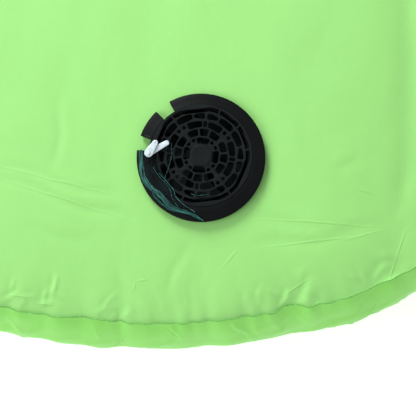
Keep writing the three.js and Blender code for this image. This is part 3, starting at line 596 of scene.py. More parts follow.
# %% Crisp little folds
def along_at(x):
    """How far along the outline the round end's seam passes a place across the mat."""
    front = stations[:, 2] < 0
    return np.interp(x, seam_points[front, 0], along[front])


# Folds beside the seam that are always there: from and to, each (across the mat, from the seam).
TOP_FOLDS = [((-0.104, 0.0136), (-0.088, 0.0140)), ((-0.085, 0.0100), (-0.072, 0.0104)),
             ((-0.012, 0.002), (-0.001, 0.011)), ((0.004, 0.003), (-0.003, 0.012)),
             ((0.135, 0.002), (0.120, 0.021)), ((0.128, 0.001), (0.139, 0.016))]
WALL_FOLDS = [((-0.038, 0.006), (-0.029, 0.022)), ((-0.050, 0.036), (-0.029, 0.026)),
              ((0.015, 0.040), (0.021, 0.028)), ((0.021, 0.028), (0.031, 0.010)),
              ((0.031, 0.010), (0.035, 0.002)), ((0.031, 0.003), (0.042, 0.020)),
              ((0.120, 0.006), (0.104, 0.030)), ((0.136, 0.004), (0.152, 0.026)),
              ((0.196, 0.010), (0.182, 0.030)), ((-0.112, 0.008), (-0.098, 0.030))]


def chance_folds(count, lean, longest, deepest):
    """Short folds at places drawn by chance along the part of the seam at the blower's end."""
    folds = []
    for _ in range(count):
        x, reach = chance.uniform(-0.21, 0.30), chance.uniform(0, deepest)
        tilt, length = chance.uniform(-lean, lean), chance.uniform(0.007, longest)
        folds.append(((x, reach), (x + length * math.sin(tilt), reach + length * math.cos(tilt))))
    return folds


def fold_relief(s, reach, folds, height):
    """Narrow ridges, each with a shallow trough beside it, fading at its two ends."""
    rise = np.zeros_like(s)
    for k, ((x0, r0), (x1, r1)) in enumerate(folds):
        s0, s1 = along_at(x0), along_at(x1)
        length = math.hypot(s1 - s0, r1 - r0)
        run = ((s1 - s0) / length, (r1 - r0) / length)
        u = (s - s0) * run[0] + (reach - r0) * run[1]
        v = -(s - s0) * run[1] + (reach - r0) * run[0] + 0.0008 * np.sin(u * 300 + k)
        fade = np.clip(u / length, 0, 1) * np.clip(1 - u / length, 0, 1) * 4
        width = 0.0013 + 0.0007 * math.sin(k * 2.3) ** 2
        size = height * (0.6 + 0.4 * math.sin(k * 1.7))
        trough = 0.5 * np.exp(-(((v - 2.2 * width) / (1.6 * width)) ** 2))
        rise += size * fade**0.6 * (np.exp(-((v / width) ** 2)) - trough)
    return rise


top_folds = TOP_FOLDS + chance_folds(34, 1.2, 0.024, 0.016)
wall_folds = WALL_FOLDS + chance_folds(40, 1.0, 0.030, 0.050)
print(len(top_folds) + len(wall_folds), "small folds")

# %% [markdown]
# ### Laying the grid
# A grid primitive is added with as many squares as the panel has stations and rows. Its points
# are then moved to their places, the two ends that meet are merged, and the rim's thickness comes
# from Solidify.

# %% Where the side walls lie calm
def calm(x, y):
    """Near 0 beside the pocket, the zip and the handles' feet, which hold the wall flat, else 1."""
    level = np.ones_like(x)
    side = np.abs(x) > END_RADIUS - 0.03
    for low, high, both in ((-0.43, -0.33, False), (0.175, 0.445, False), (-0.125, 0.125, True)):
        inside = np.clip(np.minimum(y - low, high - y) / 0.03 + 1, 0, 1)
        where = side & ((x > 0) | both)
        level = np.where(where, np.minimum(level, 1 - 0.93 * inside), level)
    return level


# %% Lay out the panels
def lay_panel(name, panel):
    """A panel right round the mat, one layer thick, as a grid bent into place."""
    inset, height, reach = rows_for(panel)
    count, rows = len(stations), len(inset)
    deselect()
    bpy.ops.mesh.primitive_grid_add(x_subdivisions=count, y_subdivisions=rows - 1, size=1)
    obj = named(name)
    mesh = obj.data
    flat = np.zeros(len(mesh.vertices) * 3)
    mesh.vertices.foreach_get("co", flat)
    flat = flat.reshape(-1, 3)
    column = np.rint((flat[:, 0] + 0.5) * count).astype(int) % count
    row = np.rint((flat[:, 1] + 0.5) * (rows - 1)).astype(int)
    y0, dx, dy = stations[column].T
    r = END_RADIUS - inset[row]
    r = r + swell[column] * (1 if panel == "wall" else np.exp(-((reach[row] / SWELL_REACH) ** 2)))
    x, y, z = dx * r, y0 + dy * r, height[row].copy()
    if panel == "top":
        z += top_relief(x, y, reach[row], column)
        draw = 0.0010 * short[column] + 0.0008 * middle[column]
        draw = draw * np.exp(-reach[row] / 0.006) - 0.0009 * np.exp(-reach[row] / 0.0012)
        draw -= tuck_at(column) * np.exp(-reach[row] / 0.014)
        x, y = x + dx * draw, y + dy * draw
        z += (0.0006 * middle[column] - 0.0008) * np.exp(-reach[row] / 0.004)
    elif panel == "wall":
        share = reach[row] / reach[-1]
        belly = np.sin(math.pi * share)
        push = 0.0013 * short[column] * np.exp(-share / 0.16)
        push += 0.0022 * middle[column] * np.exp(-share / 0.35)
        push += 0.0016 * middle[column] * np.exp(-(1 - share) / 0.3)
        push += 0.0014 * np.roll(short, 40)[column] * np.exp(-(1 - share) / 0.15)
        push += 0.0012 * broad[column] * belly + 0.0036 * belly * np.clip(-dy, 0, 1)
        slant = np.array([noise.noise(Vector((a * 30 + h * 55, h * 25, 5.5)))
                          for a, h in zip(along[column], share * 0.1)])
        push += 0.0016 * slant * belly
        push += fold_relief(along[column], reach[row], wall_folds, 0.0012)
        push = push * calm(x, y) - 0.0012
        seam = 0.0010 * short[column] + 0.0008 * middle[column] - 0.0009
        push -= tuck_at(column) * np.exp(-share / 0.15)
        seam -= tuck_at(column)
        ends = np.exp(-share / 0.03)
        push = push * (1 - ends) * (1 - np.exp(-(1 - share) / 0.03)) + seam * ends
        x, y = x + dx * push, y + dy * push
        z += (0.0006 * middle[column] - 0.0008) * ends
    else:
        push = 0.0010 * middle[column] * np.exp(-reach[row] / 0.02) * (1 - np.exp(-reach[row] / 0.004))
        z += np.clip(push, 0, None)
    mesh.vertices.foreach_set("co", np.stack([x, y, z], 1).ravel())
    for label, values in (("reach", reach[row]), ("inwards", reach[-1] - reach[row])):
        layer = mesh.attributes.new(label, "FLOAT", "POINT")
        layer.data.foreach_set("value", values.astype(np.float32))
    return in_edit_mode(obj, lambda: bpy.ops.mesh.remove_doubles(threshold=2e-5),
                        bpy.ops.mesh.delete_loose)


top_skin = lay_panel("top_skin", "top")
wall_skin = lay_panel("wall_skin", "wall")
bottom_skin = lay_panel("bottom_skin", "bottom")
print("panels", [len(o.data.polygons) for o in (top_skin, wall_skin, bottom_skin)])

# %% Threads along the seams
def seam_cord(name, z, sign):
    """The row of seam thread: a thin line right round, sunk between the two panels' edges."""
    radius = 0.00055

    def place(u, v):
        column = int(round(v * len(stations))) % len(stations)
        y0, dx, dy = stations[column]
        out = END_RADIUS - SEAM_INSET + swell[column] + radius * math.cos(2 * math.pi * u)
        lift = 0
        if sign > 0:
            out += 0.0010 * short[column] + 0.0008 * middle[column] - 0.0005 - tuck_at(column)
            lift = 0.0006 * middle[column] - 0.0008
        return (dx * out, y0 + dy * out, z + lift + radius * math.sin(2 * math.pi * u))

    return merge(laid_strip(name, 8, len(stations), place))


SEAM_GREEN = (0.17, 0.52, 0.10)
seam_finish = Bench("seam_thread", SEAM_GREEN, 0.7, Sheen_Weight=0.2)
seam_finish.color(seam_finish.noise(900, 2), shades(SEAM_GREEN, 0.7, 1.2))
seam_finish.bump(seam_finish.wave(700, "DIAGONAL"), 0.5, 0.0002)
print("seam thread finish ready")

# %% [markdown]
# ### Settling the cloth under air pressure
# Where the round end is sewn, the panels have a little more cloth than their seams are long, and
# the air presses it outwards, so it buckles into small folds. Blender's Cloth finds those folds. A
# part of a panel is copied out, held along its seam and along the part's other edges, given spare
# length beside the seam and blown up for a few frames. Its points' moves are capped and given back.

# %% Cloth simulation
SETTLE_FRAMES = 16


def settle(obj, region, held, spare, pressure, cap):
    """Cloth settled over one region of a panel; region, held and spare are given for each point."""
    mesh = obj.data
    count = len(mesh.vertices)
    rest = np.zeros(count * 3)
    mesh.vertices.foreach_get("co", rest)
    rest = rest.reshape(-1, 3)
    marks = mesh.attributes.new("mark", "INT", "POINT")
    marks.data.foreach_set("value", np.arange(count))
    part = placed("settling_cloth", mesh.copy())
    flags = region.tolist()
    for thing in (*part.data.edges, *part.data.polygons):
        thing.select = False
    for vertex in part.data.vertices:
        vertex.select = not flags[vertex.index]
    take(part)
    bpy.ops.object.mode_set(mode="EDIT")
    bpy.ops.mesh.select_mode(type="VERT")
    bpy.ops.mesh.delete(type="VERT")
    bpy.ops.object.mode_set(mode="OBJECT")
    which = np.zeros(len(part.data.vertices), dtype=np.int32)
    part.data.attributes["mark"].data.foreach_get("value", which)
    hold, slack = part.vertex_groups.new(name="hold"), part.vertex_groups.new(name="slack")
    for k, source in enumerate(which):
        hold.add([k], float(held[source]), "REPLACE")
        slack.add([k], float(spare[source]), "REPLACE")
    cloth = part.modifiers.new("cloth", "CLOTH")
    fabric = cloth.settings
    fabric.quality, fabric.mass = 6, 0.08
    fabric.tension_stiffness, fabric.compression_stiffness = 30, 30
    fabric.shear_stiffness, fabric.bending_stiffness = 8, 0.02
    fabric.vertex_group_mass = "hold"
    fabric.vertex_group_shrink = "slack"
    fabric.shrink_min, fabric.shrink_max = 0.0, -0.045
    fabric.use_pressure, fabric.uniform_pressure_force = True, pressure
    fabric.effector_weights.gravity = 0
    cloth.collision_settings.use_collision = False
    cloth.point_cache.frame_start, cloth.point_cache.frame_end = 1, SETTLE_FRAMES
    scene = bpy.context.scene
    for frame_number in range(1, SETTLE_FRAMES + 1):
        scene.frame_set(frame_number)
    settled = part.evaluated_get(bpy.context.evaluated_depsgraph_get()).data
    moved = np.zeros(len(which) * 3)
    settled.vertices.foreach_get("co", moved)
    shift = moved.reshape(-1, 3) - rest[which]
    far = np.linalg.norm(shift, axis=1)
    shift *= np.minimum(1, cap / np.maximum(far, 1e-9))[:, None]
    rest[which] += shift
    mesh.vertices.foreach_set("co", rest.ravel())
    bpy.data.objects.remove(part)
    mesh.attributes.remove(mesh.attributes["mark"])
    mesh.update()
    scene.frame_set(1)
    print(obj.name, "settled", len(which), "points by up to", round(float(far.max()) * 1000, 2), "mm")


def read_points(obj, label=None):
    """All points' places, or one of their stored values."""
    mesh = obj.data
    if label:
        values = np.zeros(len(mesh.vertices), dtype=np.float32)
        mesh.attributes[label].data.foreach_get("value", values)
        return values.astype(float)
    values = np.zeros(len(mesh.vertices) * 3)
    mesh.vertices.foreach_get("co", values)
    return values.reshape(-1, 3)


place, reach = read_points(top_skin), read_points(top_skin, "reach")
near_end = (place[:, 1] < -STRAIGHT_HALF) & (reach < 0.16)
from_blower = np.hypot(place[:, 0] - blower_origin.x, place[:, 1] - blower_origin.y)
held = np.clip((reach - 0.11) / 0.04, 0, 1)
held = np.maximum(held, np.clip((0.085 - from_blower) / 0.015, 0, 1))
held = np.maximum(held, np.clip(1 - reach / 0.0015, 0, 1))
held[place[:, 1] > -STRAIGHT_HALF - 0.03] = 1
spare = np.exp(-((reach / 0.045) ** 2))
settle(top_skin, near_end, held, spare, 0.25, 0.006)
place = read_points(wall_skin)
reach, inwards = read_points(wall_skin, "reach"), read_points(wall_skin, "inwards")
held = np.clip(1 - np.minimum(reach, inwards) / 0.0015, 0, 1)
held[place[:, 1] > -STRAIGHT_HALF - 0.03] = 1
spare = np.exp(-((np.minimum(reach, inwards) / 0.03) ** 2))
settle(wall_skin, place[:, 1] < -STRAIGHT_HALF, held, spare, 0.25, 0.005)

# %% [markdown]
# Each panel then gets its cloth's thickness. The top has a round hole for the blower's duct, and
# the wall band is separated into the four panels that it is sewn from: one round each end and one
# along each side. The right one is open behind the zip.

# %% Helpers for finished pieces
MM = 0.001


def apply_all(obj):
    take(obj)
    for modifier in list(obj.modifiers):
        bpy.ops.object.modifier_apply(modifier=modifier.name)
    return obj


def thicken(obj, thickness, offset=-1.0):
    solid = obj.modifiers.new("cloth", "SOLIDIFY")
    solid.thickness = thickness
    solid.offset = offset
    return apply_all(obj)


def face_outwards():
    bpy.ops.mesh.normals_make_consistent(inside=False)


def recalculate(obj):
    return in_edit_mode(obj, face_outwards)


def merge(obj):
    """Points that lie on each other become one, and all faces point outwards."""
    return in_edit_mode(obj, lambda: bpy.ops.mesh.remove_doubles(threshold=2e-6), face_outwards)


def cut_away(obj, *tools):
    """The tools are cut from the object, and are gone afterwards."""
    for tool in tools:
        cutter = obj.modifiers.new("cut", "BOOLEAN")
        cutter.operation = "DIFFERENCE"
        cutter.solver = "EXACT"
        cutter.object = tool
    apply_all(obj)
    for tool in tools:
        bpy.data.objects.remove(tool)
    return obj


def add_to(obj, *extras):
    for extra in extras:
        joiner = obj.modifiers.new("join", "BOOLEAN")
        joiner.operation = "UNION"
        joiner.solver = "EXACT"
        joiner.object = extra
    apply_all(obj)
    for extra in extras:
        bpy.data.objects.remove(extra)
    return obj


def soften(obj, width, segments=2, angle=35):
    """Small rounded edges wherever faces meet at more than the angle, and smooth shading."""
    edges = obj.modifiers.new("edges", "BEVEL")
    edges.width = width
    edges.segments = segments
    edges.limit_method = "ANGLE"
    edges.angle_limit = math.radians(angle)
    apply_all(obj)
    smooth(obj, angle)
    even = obj.modifiers.new("even", "WEIGHTED_NORMAL")
    even.keep_sharp = True
    return apply_all(obj)


def smooth(obj, angle=40):
    take(obj)
    bpy.ops.object.shade_smooth_by_angle(angle=math.radians(angle))
    return obj


def fix_place(obj, matrix=None):
    """The object's place goes into its mesh, with its origin at the frame's origin."""
    take(obj)
    if matrix is not None:
        obj.matrix_world = matrix @ obj.matrix_world
    bpy.ops.object.transform_apply(location=True, rotation=True, scale=True)
    return obj


def drum(name, radius, low, high, sides=96):
    """A round post about Z, in millimetres."""
    deselect()
    bpy.ops.mesh.primitive_cylinder_add(
        vertices=sides, radius=radius * MM, depth=(high - low) * MM,
        location=(0, 0, (low + high) / 2 * MM))
    return fix_place(named(name))


def block(name, low, high):
    """A box between two corners, in metres."""
    low, high = Vector(low), Vector(high)
    deselect()
    bpy.ops.mesh.primitive_cube_add(size=1, location=(low + high) / 2)
    obj = named(name)
    obj.scale = high - low
    return fix_place(obj)


def laid_strip(name, across, along, place):
    """A grid of across by along squares, each point put where place(u, v) says, u and v from 0 to 1."""
    deselect()
    bpy.ops.mesh.primitive_grid_add(x_subdivisions=across, y_subdivisions=along, size=1)
    obj = named(name)
    for vertex in obj.data.vertices:
        vertex.co = place(vertex.co.x + 0.5, vertex.co.y + 0.5)
    return obj


def finished(obj, material, body="mat", node=None):
    """The material, the body to ride and the CAD nodes that it stands for."""
    obj.data.materials.clear()
    obj.data.materials.append(material)
    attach(obj, body)
    if node:
        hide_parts(*([node] if isinstance(node, str) else node))
    return obj


print("helpers ready")

# %% Seam threads round the top and the bottom
top_seam_line = seam_cord("top_seam_thread", TOP_SEAM + TOP_LIFT, 1)
bottom_seam_line = seam_cord("bottom_seam_thread", BOTTOM_SEAM, -1)
for obj in (top_seam_line, bottom_seam_line):
    finished(smooth(obj, 80), seam_finish.material)
print("seam threads", len(top_seam_line.data.polygons), "faces each")

# %% Top panel
DUCT_HOLE = 44.0
thicken(top_skin, CLOTH)
duct_tool = fix_place(drum("duct_tool", DUCT_HOLE, -20, 20, 96), BLOWER)
cut_away(top_skin, duct_tool)
finished(smooth(top_skin, 60), top_cloth, node="top_sheet")
print("top panel", len(top_skin.data.polygons), "faces")

# %% Bottom panel
thicken(bottom_skin, CLOTH, 1.0)
recalculate(bottom_skin)
bottom_cloth = coated_cloth("bottom_coated_nylon", TOP_GREEN)
finished(smooth(bottom_skin, 60), bottom_cloth, node="bottom_sheet")
print("bottom panel", len(bottom_skin.data.polygons), "faces")

# %% Wall panels
def part_of_wall(name, keep):
    """A copy of the wall band that keeps only the faces whose centres pass the test."""
    deselect()
    mesh = wall_skin.data.copy()
    obj = placed(name, mesh)
    mesh.name = name
    for face in mesh.polygons:
        face.select = not keep(face.center)
    for thing in (*mesh.vertices, *mesh.edges):
        thing.select = False
    take(obj)
    bpy.ops.object.mode_set(mode="EDIT")
    bpy.ops.mesh.select_mode(type="FACE")
    bpy.ops.mesh.delete(type="FACE")
    bpy.ops.object.mode_set(mode="OBJECT")
    return thicken(obj, CLOTH)


walls = {
    "wall_front": lambda c: c.y < -STRAIGHT_HALF,
    "wall_rear": lambda c: c.y > STRAIGHT_HALF,
    "wall_left": lambda c: abs(c.y) < STRAIGHT_HALF and c.x < 0,
    "wall_right": lambda c: abs(c.y) < STRAIGHT_HALF and c.x > 0,
}
zip_low, zip_high = (Vector(c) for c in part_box("zip_chain_lower"))
wall_pieces = {}
for node, keep in walls.items():
    wall_pieces[node] = panel = part_of_wall(node + "_skin", keep)
    if node == "wall_right":
        window = block("zip_window", (0.45, zip_low.y, WALL_MIDDLE - 0.0039),
                       (0.56, zip_high.y, WALL_MIDDLE + 0.0039))
        cut_away(panel, window)
    finished(smooth(panel, 60), side_cloth, node=node)
    print(node, len(panel.data.polygons), "faces")
bpy.data.objects.remove(wall_skin)

# %% [markdown]
# ## Baffles and tapes inside the body
# Two upright sheets run along the inside and hold the top and the bottom apart, so the mat stays
# flat. Each is welded to both skins by a strip. They follow the finished skin, whose height is read
# by looking straight down on it.

# %% Height of the finished skin
skin_tree = BVHTree.FromObject(top_skin, bpy.context.evaluated_depsgraph_get())


def skin_height(x, y):
    """The top of the skin under a place, or its height beside the blower's hole."""
    hit = skin_tree.ray_cast(Vector((x, y, 1.0)), Vector((0, 0, -1)))[0]
    return hit.z if hit is not None else CROWN - 0.009


print("skin height over the middle", round(skin_height(0, 0), 4))

# %% Baffles, their strips and the seam tapes
tape_cloth = coated_cloth("inner_tape", (0.30, 0.68, 0.20), 0.6)
BAFFLE_HALF_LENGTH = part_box("baffle_right")[1][1]
STRIP_HALF = 0.015
BAFFLE_FOOT = 0.0026
baffle_sheets = []
for side, word in ((-1, "left"), (1, "right")):
    x = side * BAFFLE_X
    y_at = lambda v: (2 * v - 1) * BAFFLE_HALF_LENGTH

    def upright(u, v):
        top = skin_height(x, y_at(v)) - 0.0042
        sway = 0.0015 * noise.noise(Vector((u * 3, v * 22, side)))
        return (x + sway, y_at(v), BAFFLE_FOOT + u * (top - BAFFLE_FOOT))

    sheet = laid_strip(f"baffle_{word}_sheet", 12, 180, upright)
    thicken(recalculate(sheet), CLOTH, 0)
    holes = []
    for k in range(7):
        hole = drum("air_hole", 28, -10, 10, 40)
        hole.rotation_euler = (0, math.pi / 2, 0)
        hole.location = (x, (k - 3) * 0.2, WALL_MIDDLE)
        holes.append(fix_place(hole))
    cut_away(sheet, *holes)
    finished(smooth(sheet, 60), tape_cloth, node=f"baffle_{word}")
    strips = []
    for end, drop in (("top", 0.0024), ("bottom", None)):
        def flat_on(u, v):
            at = x + (2 * u - 1) * STRIP_HALF
            return (at, y_at(v), 0.0016 if drop is None else skin_height(at, y_at(v)) - drop)

        strip = laid_strip(f"baffle_strip_{word}_{end}_band", 8, 170, flat_on)
        thicken(recalculate(strip), CLOTH)
        strips.append(finished(smooth(strip, 60), tape_cloth,
                               node=f"baffle_strip_{word}_{end}"))
    baffle_sheets.append((sheet, strips))
print("baffles", [len(sheet.data.polygons) for sheet, _ in baffle_sheets])

# %% [markdown]
# A narrow tape covers each seam from inside. It is laid on the same stations as the panels, half on
# the wall and half on the skin, just inside both.

# %% Seam tapes
def seam_tape(name, node, seam_z, sign):
    width, depth = 0.006, 0.0028
    rows = 6

    def place(u, v):
        column = int(round(v * len(stations))) % len(stations)
        y0, dx, dy = stations[column]
        reach = (2 * u - 1) * width
        if reach > 0:
            inset = SEAM_INSET + reach
            z = (crown_height(inset) if sign > 0 else floor_height(inset)) - sign * depth
        else:
            z = seam_z + sign * reach
            inset = wall_inset(z) + depth
            z -= sign * depth
        r = END_RADIUS - inset - depth + swell[column]
        return (dx * r, y0 + dy * r, z)

    tape = laid_strip(name, rows, len(stations), place)
    merge(tape)
    thicken(recalculate(tape), 0.0004)
    return finished(smooth(tape, 60), tape_cloth, node=node)


top_tape = seam_tape("top_seam_band", "top_seam_tape", TOP_SEAM, 1)
bottom_tape = seam_tape("bottom_seam_band", "bottom_seam_tape", BOTTOM_SEAM, -1)
print("tapes", len(top_tape.data.polygons), len(bottom_tape.data.polygons))

# %% [markdown]
# ## The blower
# A shallow flange of black plastic is clamped to the skin, with a short duct under it. Everything on
# it is modelled flat, in the blower's own millimetres, and is then moved into the mat's slightly
# tilted skin. Round parts are a profile spun about the axis, and flat parts with openings are a
# filled outline that is given thickness and a rounded edge.

# %% Tools for the blower
def turned(name, profile, steps=96):
    """A profile of (radius, height) in millimetres, spun about the axis into a closed body."""
    deselect()
    bpy.ops.mesh.primitive_circle_add(vertices=len(profile), radius=1, fill_type="NOTHING")
    obj = named(name)
    for vertex, (radius, height) in zip(obj.data.vertices, profile):
        vertex.co = (radius * MM, 0, height * MM)
    in_edit_mode(obj, lambda: bpy.ops.mesh.spin(
        steps=steps, angle=2 * math.pi, center=(0, 0, 0), axis=(0, 0, 1)))
    return merge(obj)


def plate(name, outlines, low, high, edge=0.3, steps=2):
    """A flat piece: the first outline is its edge and the others its openings, in millimetres."""
    curve = bpy.data.curves.new(name, "CURVE")
    curve.dimensions, curve.fill_mode = "2D", "BOTH"
    curve.extrude = ((high - low) / 2 - edge) * MM
    curve.bevel_depth, curve.bevel_resolution, curve.offset = edge * MM, steps, -edge * MM
    for line in outlines:
        spline = curve.splines.new("POLY")
        spline.points.add(len(line) - 1)
        for point, (x, y) in zip(spline.points, line):
            point.co = (x * MM, y * MM, 0, 1)
        spline.use_cyclic_u = True
    obj = placed(name, curve)
    obj.location.z = (low + high) / 2 * MM
    take(obj)
    bpy.ops.object.convert(target="MESH")
    return fix_place(merge(named(name)))


def ring_line(radius, centre=(0, 0), count=144):
    turns = [2 * math.pi * k / count for k in range(count)]
    return [(centre[0] + radius * math.cos(t), centre[1] + radius * math.sin(t)) for t in turns]


def sector(inner, outer, start, end, centre=(0, 0), count=12):
    """The outline between two radii and two angles in degrees."""
    turns = [math.radians(start + (end - start) * k / count) for k in range(count + 1)]
    line = [(inner, t) for t in turns] + [(outer, t) for t in reversed(turns)]
    return [(centre[0] + r * math.cos(t), centre[1] + r * math.sin(t)) for r, t in line]


RIM_CENTRE = (0, -1.7)
BORE, DUCT, SEAT, NOTCH_FOOT = 40.0, 43.2, 44.0, 45.0
NOTCHES = [(119.6, 134.3), (160.0, 173.3)]
print("blower tools ready")

# %% Plastic finishes
def plastic(name, color, roughness=0.45, grain=0.00004, gloss=0.1, **fixed):
    """Moulded plastic: a fine grained skin, and slow changes of shine."""
    bench = Bench(name, color, roughness, Specular_IOR_Level=gloss, **fixed)
    bench.color(bench.noise(55, 3), shades(color, 0.82, 1.2))
    bench.rough(bench.noise(140, 3), roughness - 0.07, roughness + 0.1)
    bench.bump(bench.noise(1500, 2), 0.35, grain)
    bench.bump(bench.noise(60, 2), 0.15, 0.0002)
    return bench.material


black_plastic = plastic("black_moulded_plastic", (0.0048, 0.0060, 0.0064), 0.45)
grille_plastic = plastic("grille_plastic", (0.0080, 0.0104, 0.0110), 0.5, gloss=0.12)
dark_plastic = plastic("dark_inner_plastic", (0.0040, 0.0056, 0.0056), 0.55)
impeller_plastic = plastic("impeller_plastic", (0.0075, 0.0125, 0.0125), 0.5)
foam = plastic("closed_cell_foam", (0.006, 0.006, 0.006), 0.95, 0.0003)
print("plastics ready")

# %% Flange and duct
def notch_tools():
    return [plate("notch", [sector(NOTCH_FOOT, 70, *notch, RIM_CENTRE)], -1, 15, edge=0)
            for notch in NOTCHES]


rim = turned("blower_rim", [
    (0, 1.9), (53.9, 1.9), (54.6, 2.2), (55, 3.0), (55, 4.9), (54.8, 5.7), (54.3, 6.3), (53.4, 6.8),
    (52.0, 7.2), (49.5, 7.85), (47.0, 8.5), (46.0, 8.85), (45.3, 9.0), (0, 9.0)], 144)
rim.location = (0, RIM_CENTRE[1] * MM, 0)
fix_place(rim)
add_to(rim, drum("duct", DUCT, -24, 3, 128))
cutters = [drum("bore", BORE, -30, 20, 128), drum("seat", SEAT, 6.2, 20, 128)]
cutters += notch_tools()
SCREW_RING = 41.6
for angle in (30, 150, 270):
    hole = drum("screw_hole", 1.1, -30, -15, 20)
    turn = math.radians(angle)
    hole.location = (SCREW_RING * MM * math.cos(turn), SCREW_RING * MM * math.sin(turn), 0)
    cutters.append(fix_place(hole))
cut_away(rim, *cutters)
soften(rim, 0.00035, 2, 38)
flange = finished(fix_place(rim, BLOWER), black_plastic, node="blower_flange")
flange.name = "flange_and_duct"
gasket = turned("gasket", [
    (44.0, 0.1), (52.6, 0.1), (53.0, 0.5), (53.0, 1.3), (52.6, 1.6), (44.0, 1.6)], 120)
cut_away(gasket, *notch_tools())
finished(smooth(fix_place(gasket, BLOWER), 35), foam, node="flange_gasket").name = "foam_gasket"
print("flange", len(flange.data.polygons), "faces")

# %% [markdown]
# ### The grille
# The guard over the intake is a web: four rings of rounded openings round a plain hub, and a ring
# of long slots next to the seat. One quarter's openings are listed and turned four times. Each
# opening is a squarish oval drawn in radius and angle, so its sides follow the rings.

# %% Grille
GROW = 0.32


def opening(inner, outer, middle, half, square=3.4, narrow=0.0, count=34):
    """A rounded opening; narrow thins it towards larger angles, or smaller ones if negative."""
    line = []
    half += math.degrees(GROW / ((inner + outer) / 2))
    inner, outer = inner - GROW, outer + GROW
    for k in range(count):
        turn = 2 * math.pi * k / count
        along, across = (math.copysign(abs(f(turn)) ** (2 / square), f(turn))
                         for f in (math.cos, math.sin))
        thin = 1 - abs(narrow) * (0.5 + 0.5 * math.copysign(1, narrow) * along)
        radius = (inner + outer) / 2 + (outer - inner) / 2 * across * thin
        angle = math.radians(middle + half * along)
        line.append((radius * math.cos(angle), radius * math.sin(angle)))
    return line


WEB_TURN = -7.6
# Inner and outer radius, middle angle, half angle, squareness, narrowing.
WEB = [
    (10.2, 15.0, 0, 22.0, 7, 0),
    (12.5, 15.3, -34.9, 5.6, 2.6, -0.5), (12.5, 15.3, 34.9, 5.6, 2.6, 0.5),
    (16.8, 22.4, 0, 9.3, 6, 0), (16.8, 22.4, -27.6, 11.6, 5, -0.15), (16.8, 22.4, 27.6, 11.6, 5, 0.15),
    (24.4, 28.9, 0, 2.6, 4, 0), (23.8, 29.3, -19, 12.8, 5, 0.15), (23.8, 29.3, 19, 12.8, 5, -0.15),
    (26.1, 28.8, -39.3, 2.7, 2.1, 0), (26.1, 28.8, 39.3, 2.7, 2.1, 0),
    (31.0, 36.3, -9.9, 7.7, 3.6, -0.5), (31.0, 36.3, 9.9, 7.7, 3.6, 0.5),
    (31.0, 36.2, -32.0, 11.4, 3.4, 0.1), (31.0, 36.2, 32.0, 11.4, 3.4, -0.1),
]
SPOKES = [7, 37.8, 67, 127, 187, 247, 307]
GRILLE_LOW, GRILLE_HIGH, GRILLE_RADIUS = 6.5, 9.5, 43.7
web_lines = [ring_line(GRILLE_RADIUS)]
for quarter in range(4):
    for inner, outer, middle, half, square, narrow in WEB:
        web_lines.append(opening(inner, outer, WEB_TURN + 90 * quarter + middle, half, square, narrow))
for spoke, following in zip(SPOKES, SPOKES[1:] + [SPOKES[0] + 360]):
    web_lines.append(opening(38.5, 41.3, (spoke + following) / 2, (following - spoke) / 2 - 1.5,
                             14, 0, 90))
grille = plate("web", web_lines, GRILLE_LOW, GRILLE_HIGH, edge=0.25, steps=2)
boss = turned("boss", [
    (0, 8.5), (9.2, 8.5), (9.2, 9.55), (8.8, 9.9), (8.2, 9.98), (6.4, 9.8), (0, 9.75)], 96)
smooth(joined(grille, boss), 50)
finished(fix_place(grille, BLOWER), grille_plastic, node="intake_grille")
grille.name = "intake_web"
print("grille", len(grille.data.polygons), "faces,", len(web_lines), "outlines")

# %% [markdown]
# ### The fan
# Seven broad blades wrap the hub like a propeller, each a bent grid with thickness. They overlap
# when seen from above, which is why the duct looks black behind the web.

# %% Impeller
def blade(turn):
    def place(u, v):
        radius = 12.0 + u * 25.3
        sweep = math.radians(turn + (v - 0.5) * 62 + 14 * u * u)
        height = -9.0 + (v - 0.5) * (14.5 - 2.5 * u) + 1.6 * math.sin(math.pi * v)
        return (radius * MM * math.cos(sweep), radius * MM * math.sin(sweep), height * MM)

    piece = laid_strip("blade", 10, 14, place)
    solid = piece.modifiers.new("thickness", "SOLIDIFY")
    solid.thickness, solid.offset = 0.0013, 0
    return apply_all(recalculate(piece))


fan = turned("fan_hub", [
    (1.3, -19), (12.4, -19), (13, -18.4), (13, -1.5), (12.7, -0.3), (11.6, 0.6), (9.5, 1.0), (0, 1.0),
    (0, -2), (1.3, -2)], 72)
add_to(fan, *[blade(360 * k / 7) for k in range(7)])
smooth(fan, 40)
finished(fix_place(fan, BLOWER), impeller_plastic, "rotor", "impeller").name = "fan"
print("fan", len(fan.data.polygons), "faces")

# %% [markdown]
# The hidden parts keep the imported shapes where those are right: the motor, its bushes and the
# guard's screws. The cloth patch that backs the clamped skin follows the finished skin.

# %% Patch under the blower
def patch_place(u, v):
    turn, radius = 2 * math.pi * v, 0.0445 + 0.033 * u
    x = blower_origin.x + radius * math.cos(turn)
    y = blower_origin.y + radius * math.sin(turn)
    return (x, y, min(skin_height(x, y), CROWN) - 0.0012)


patch = merge(laid_strip("blower_backing_patch", 6, 96, patch_place))
thicken(recalculate(patch), 0.0007)
finished(smooth(patch, 60), tape_cloth, node="blower_patch")
print("patch", len(patch.data.polygons), "faces")
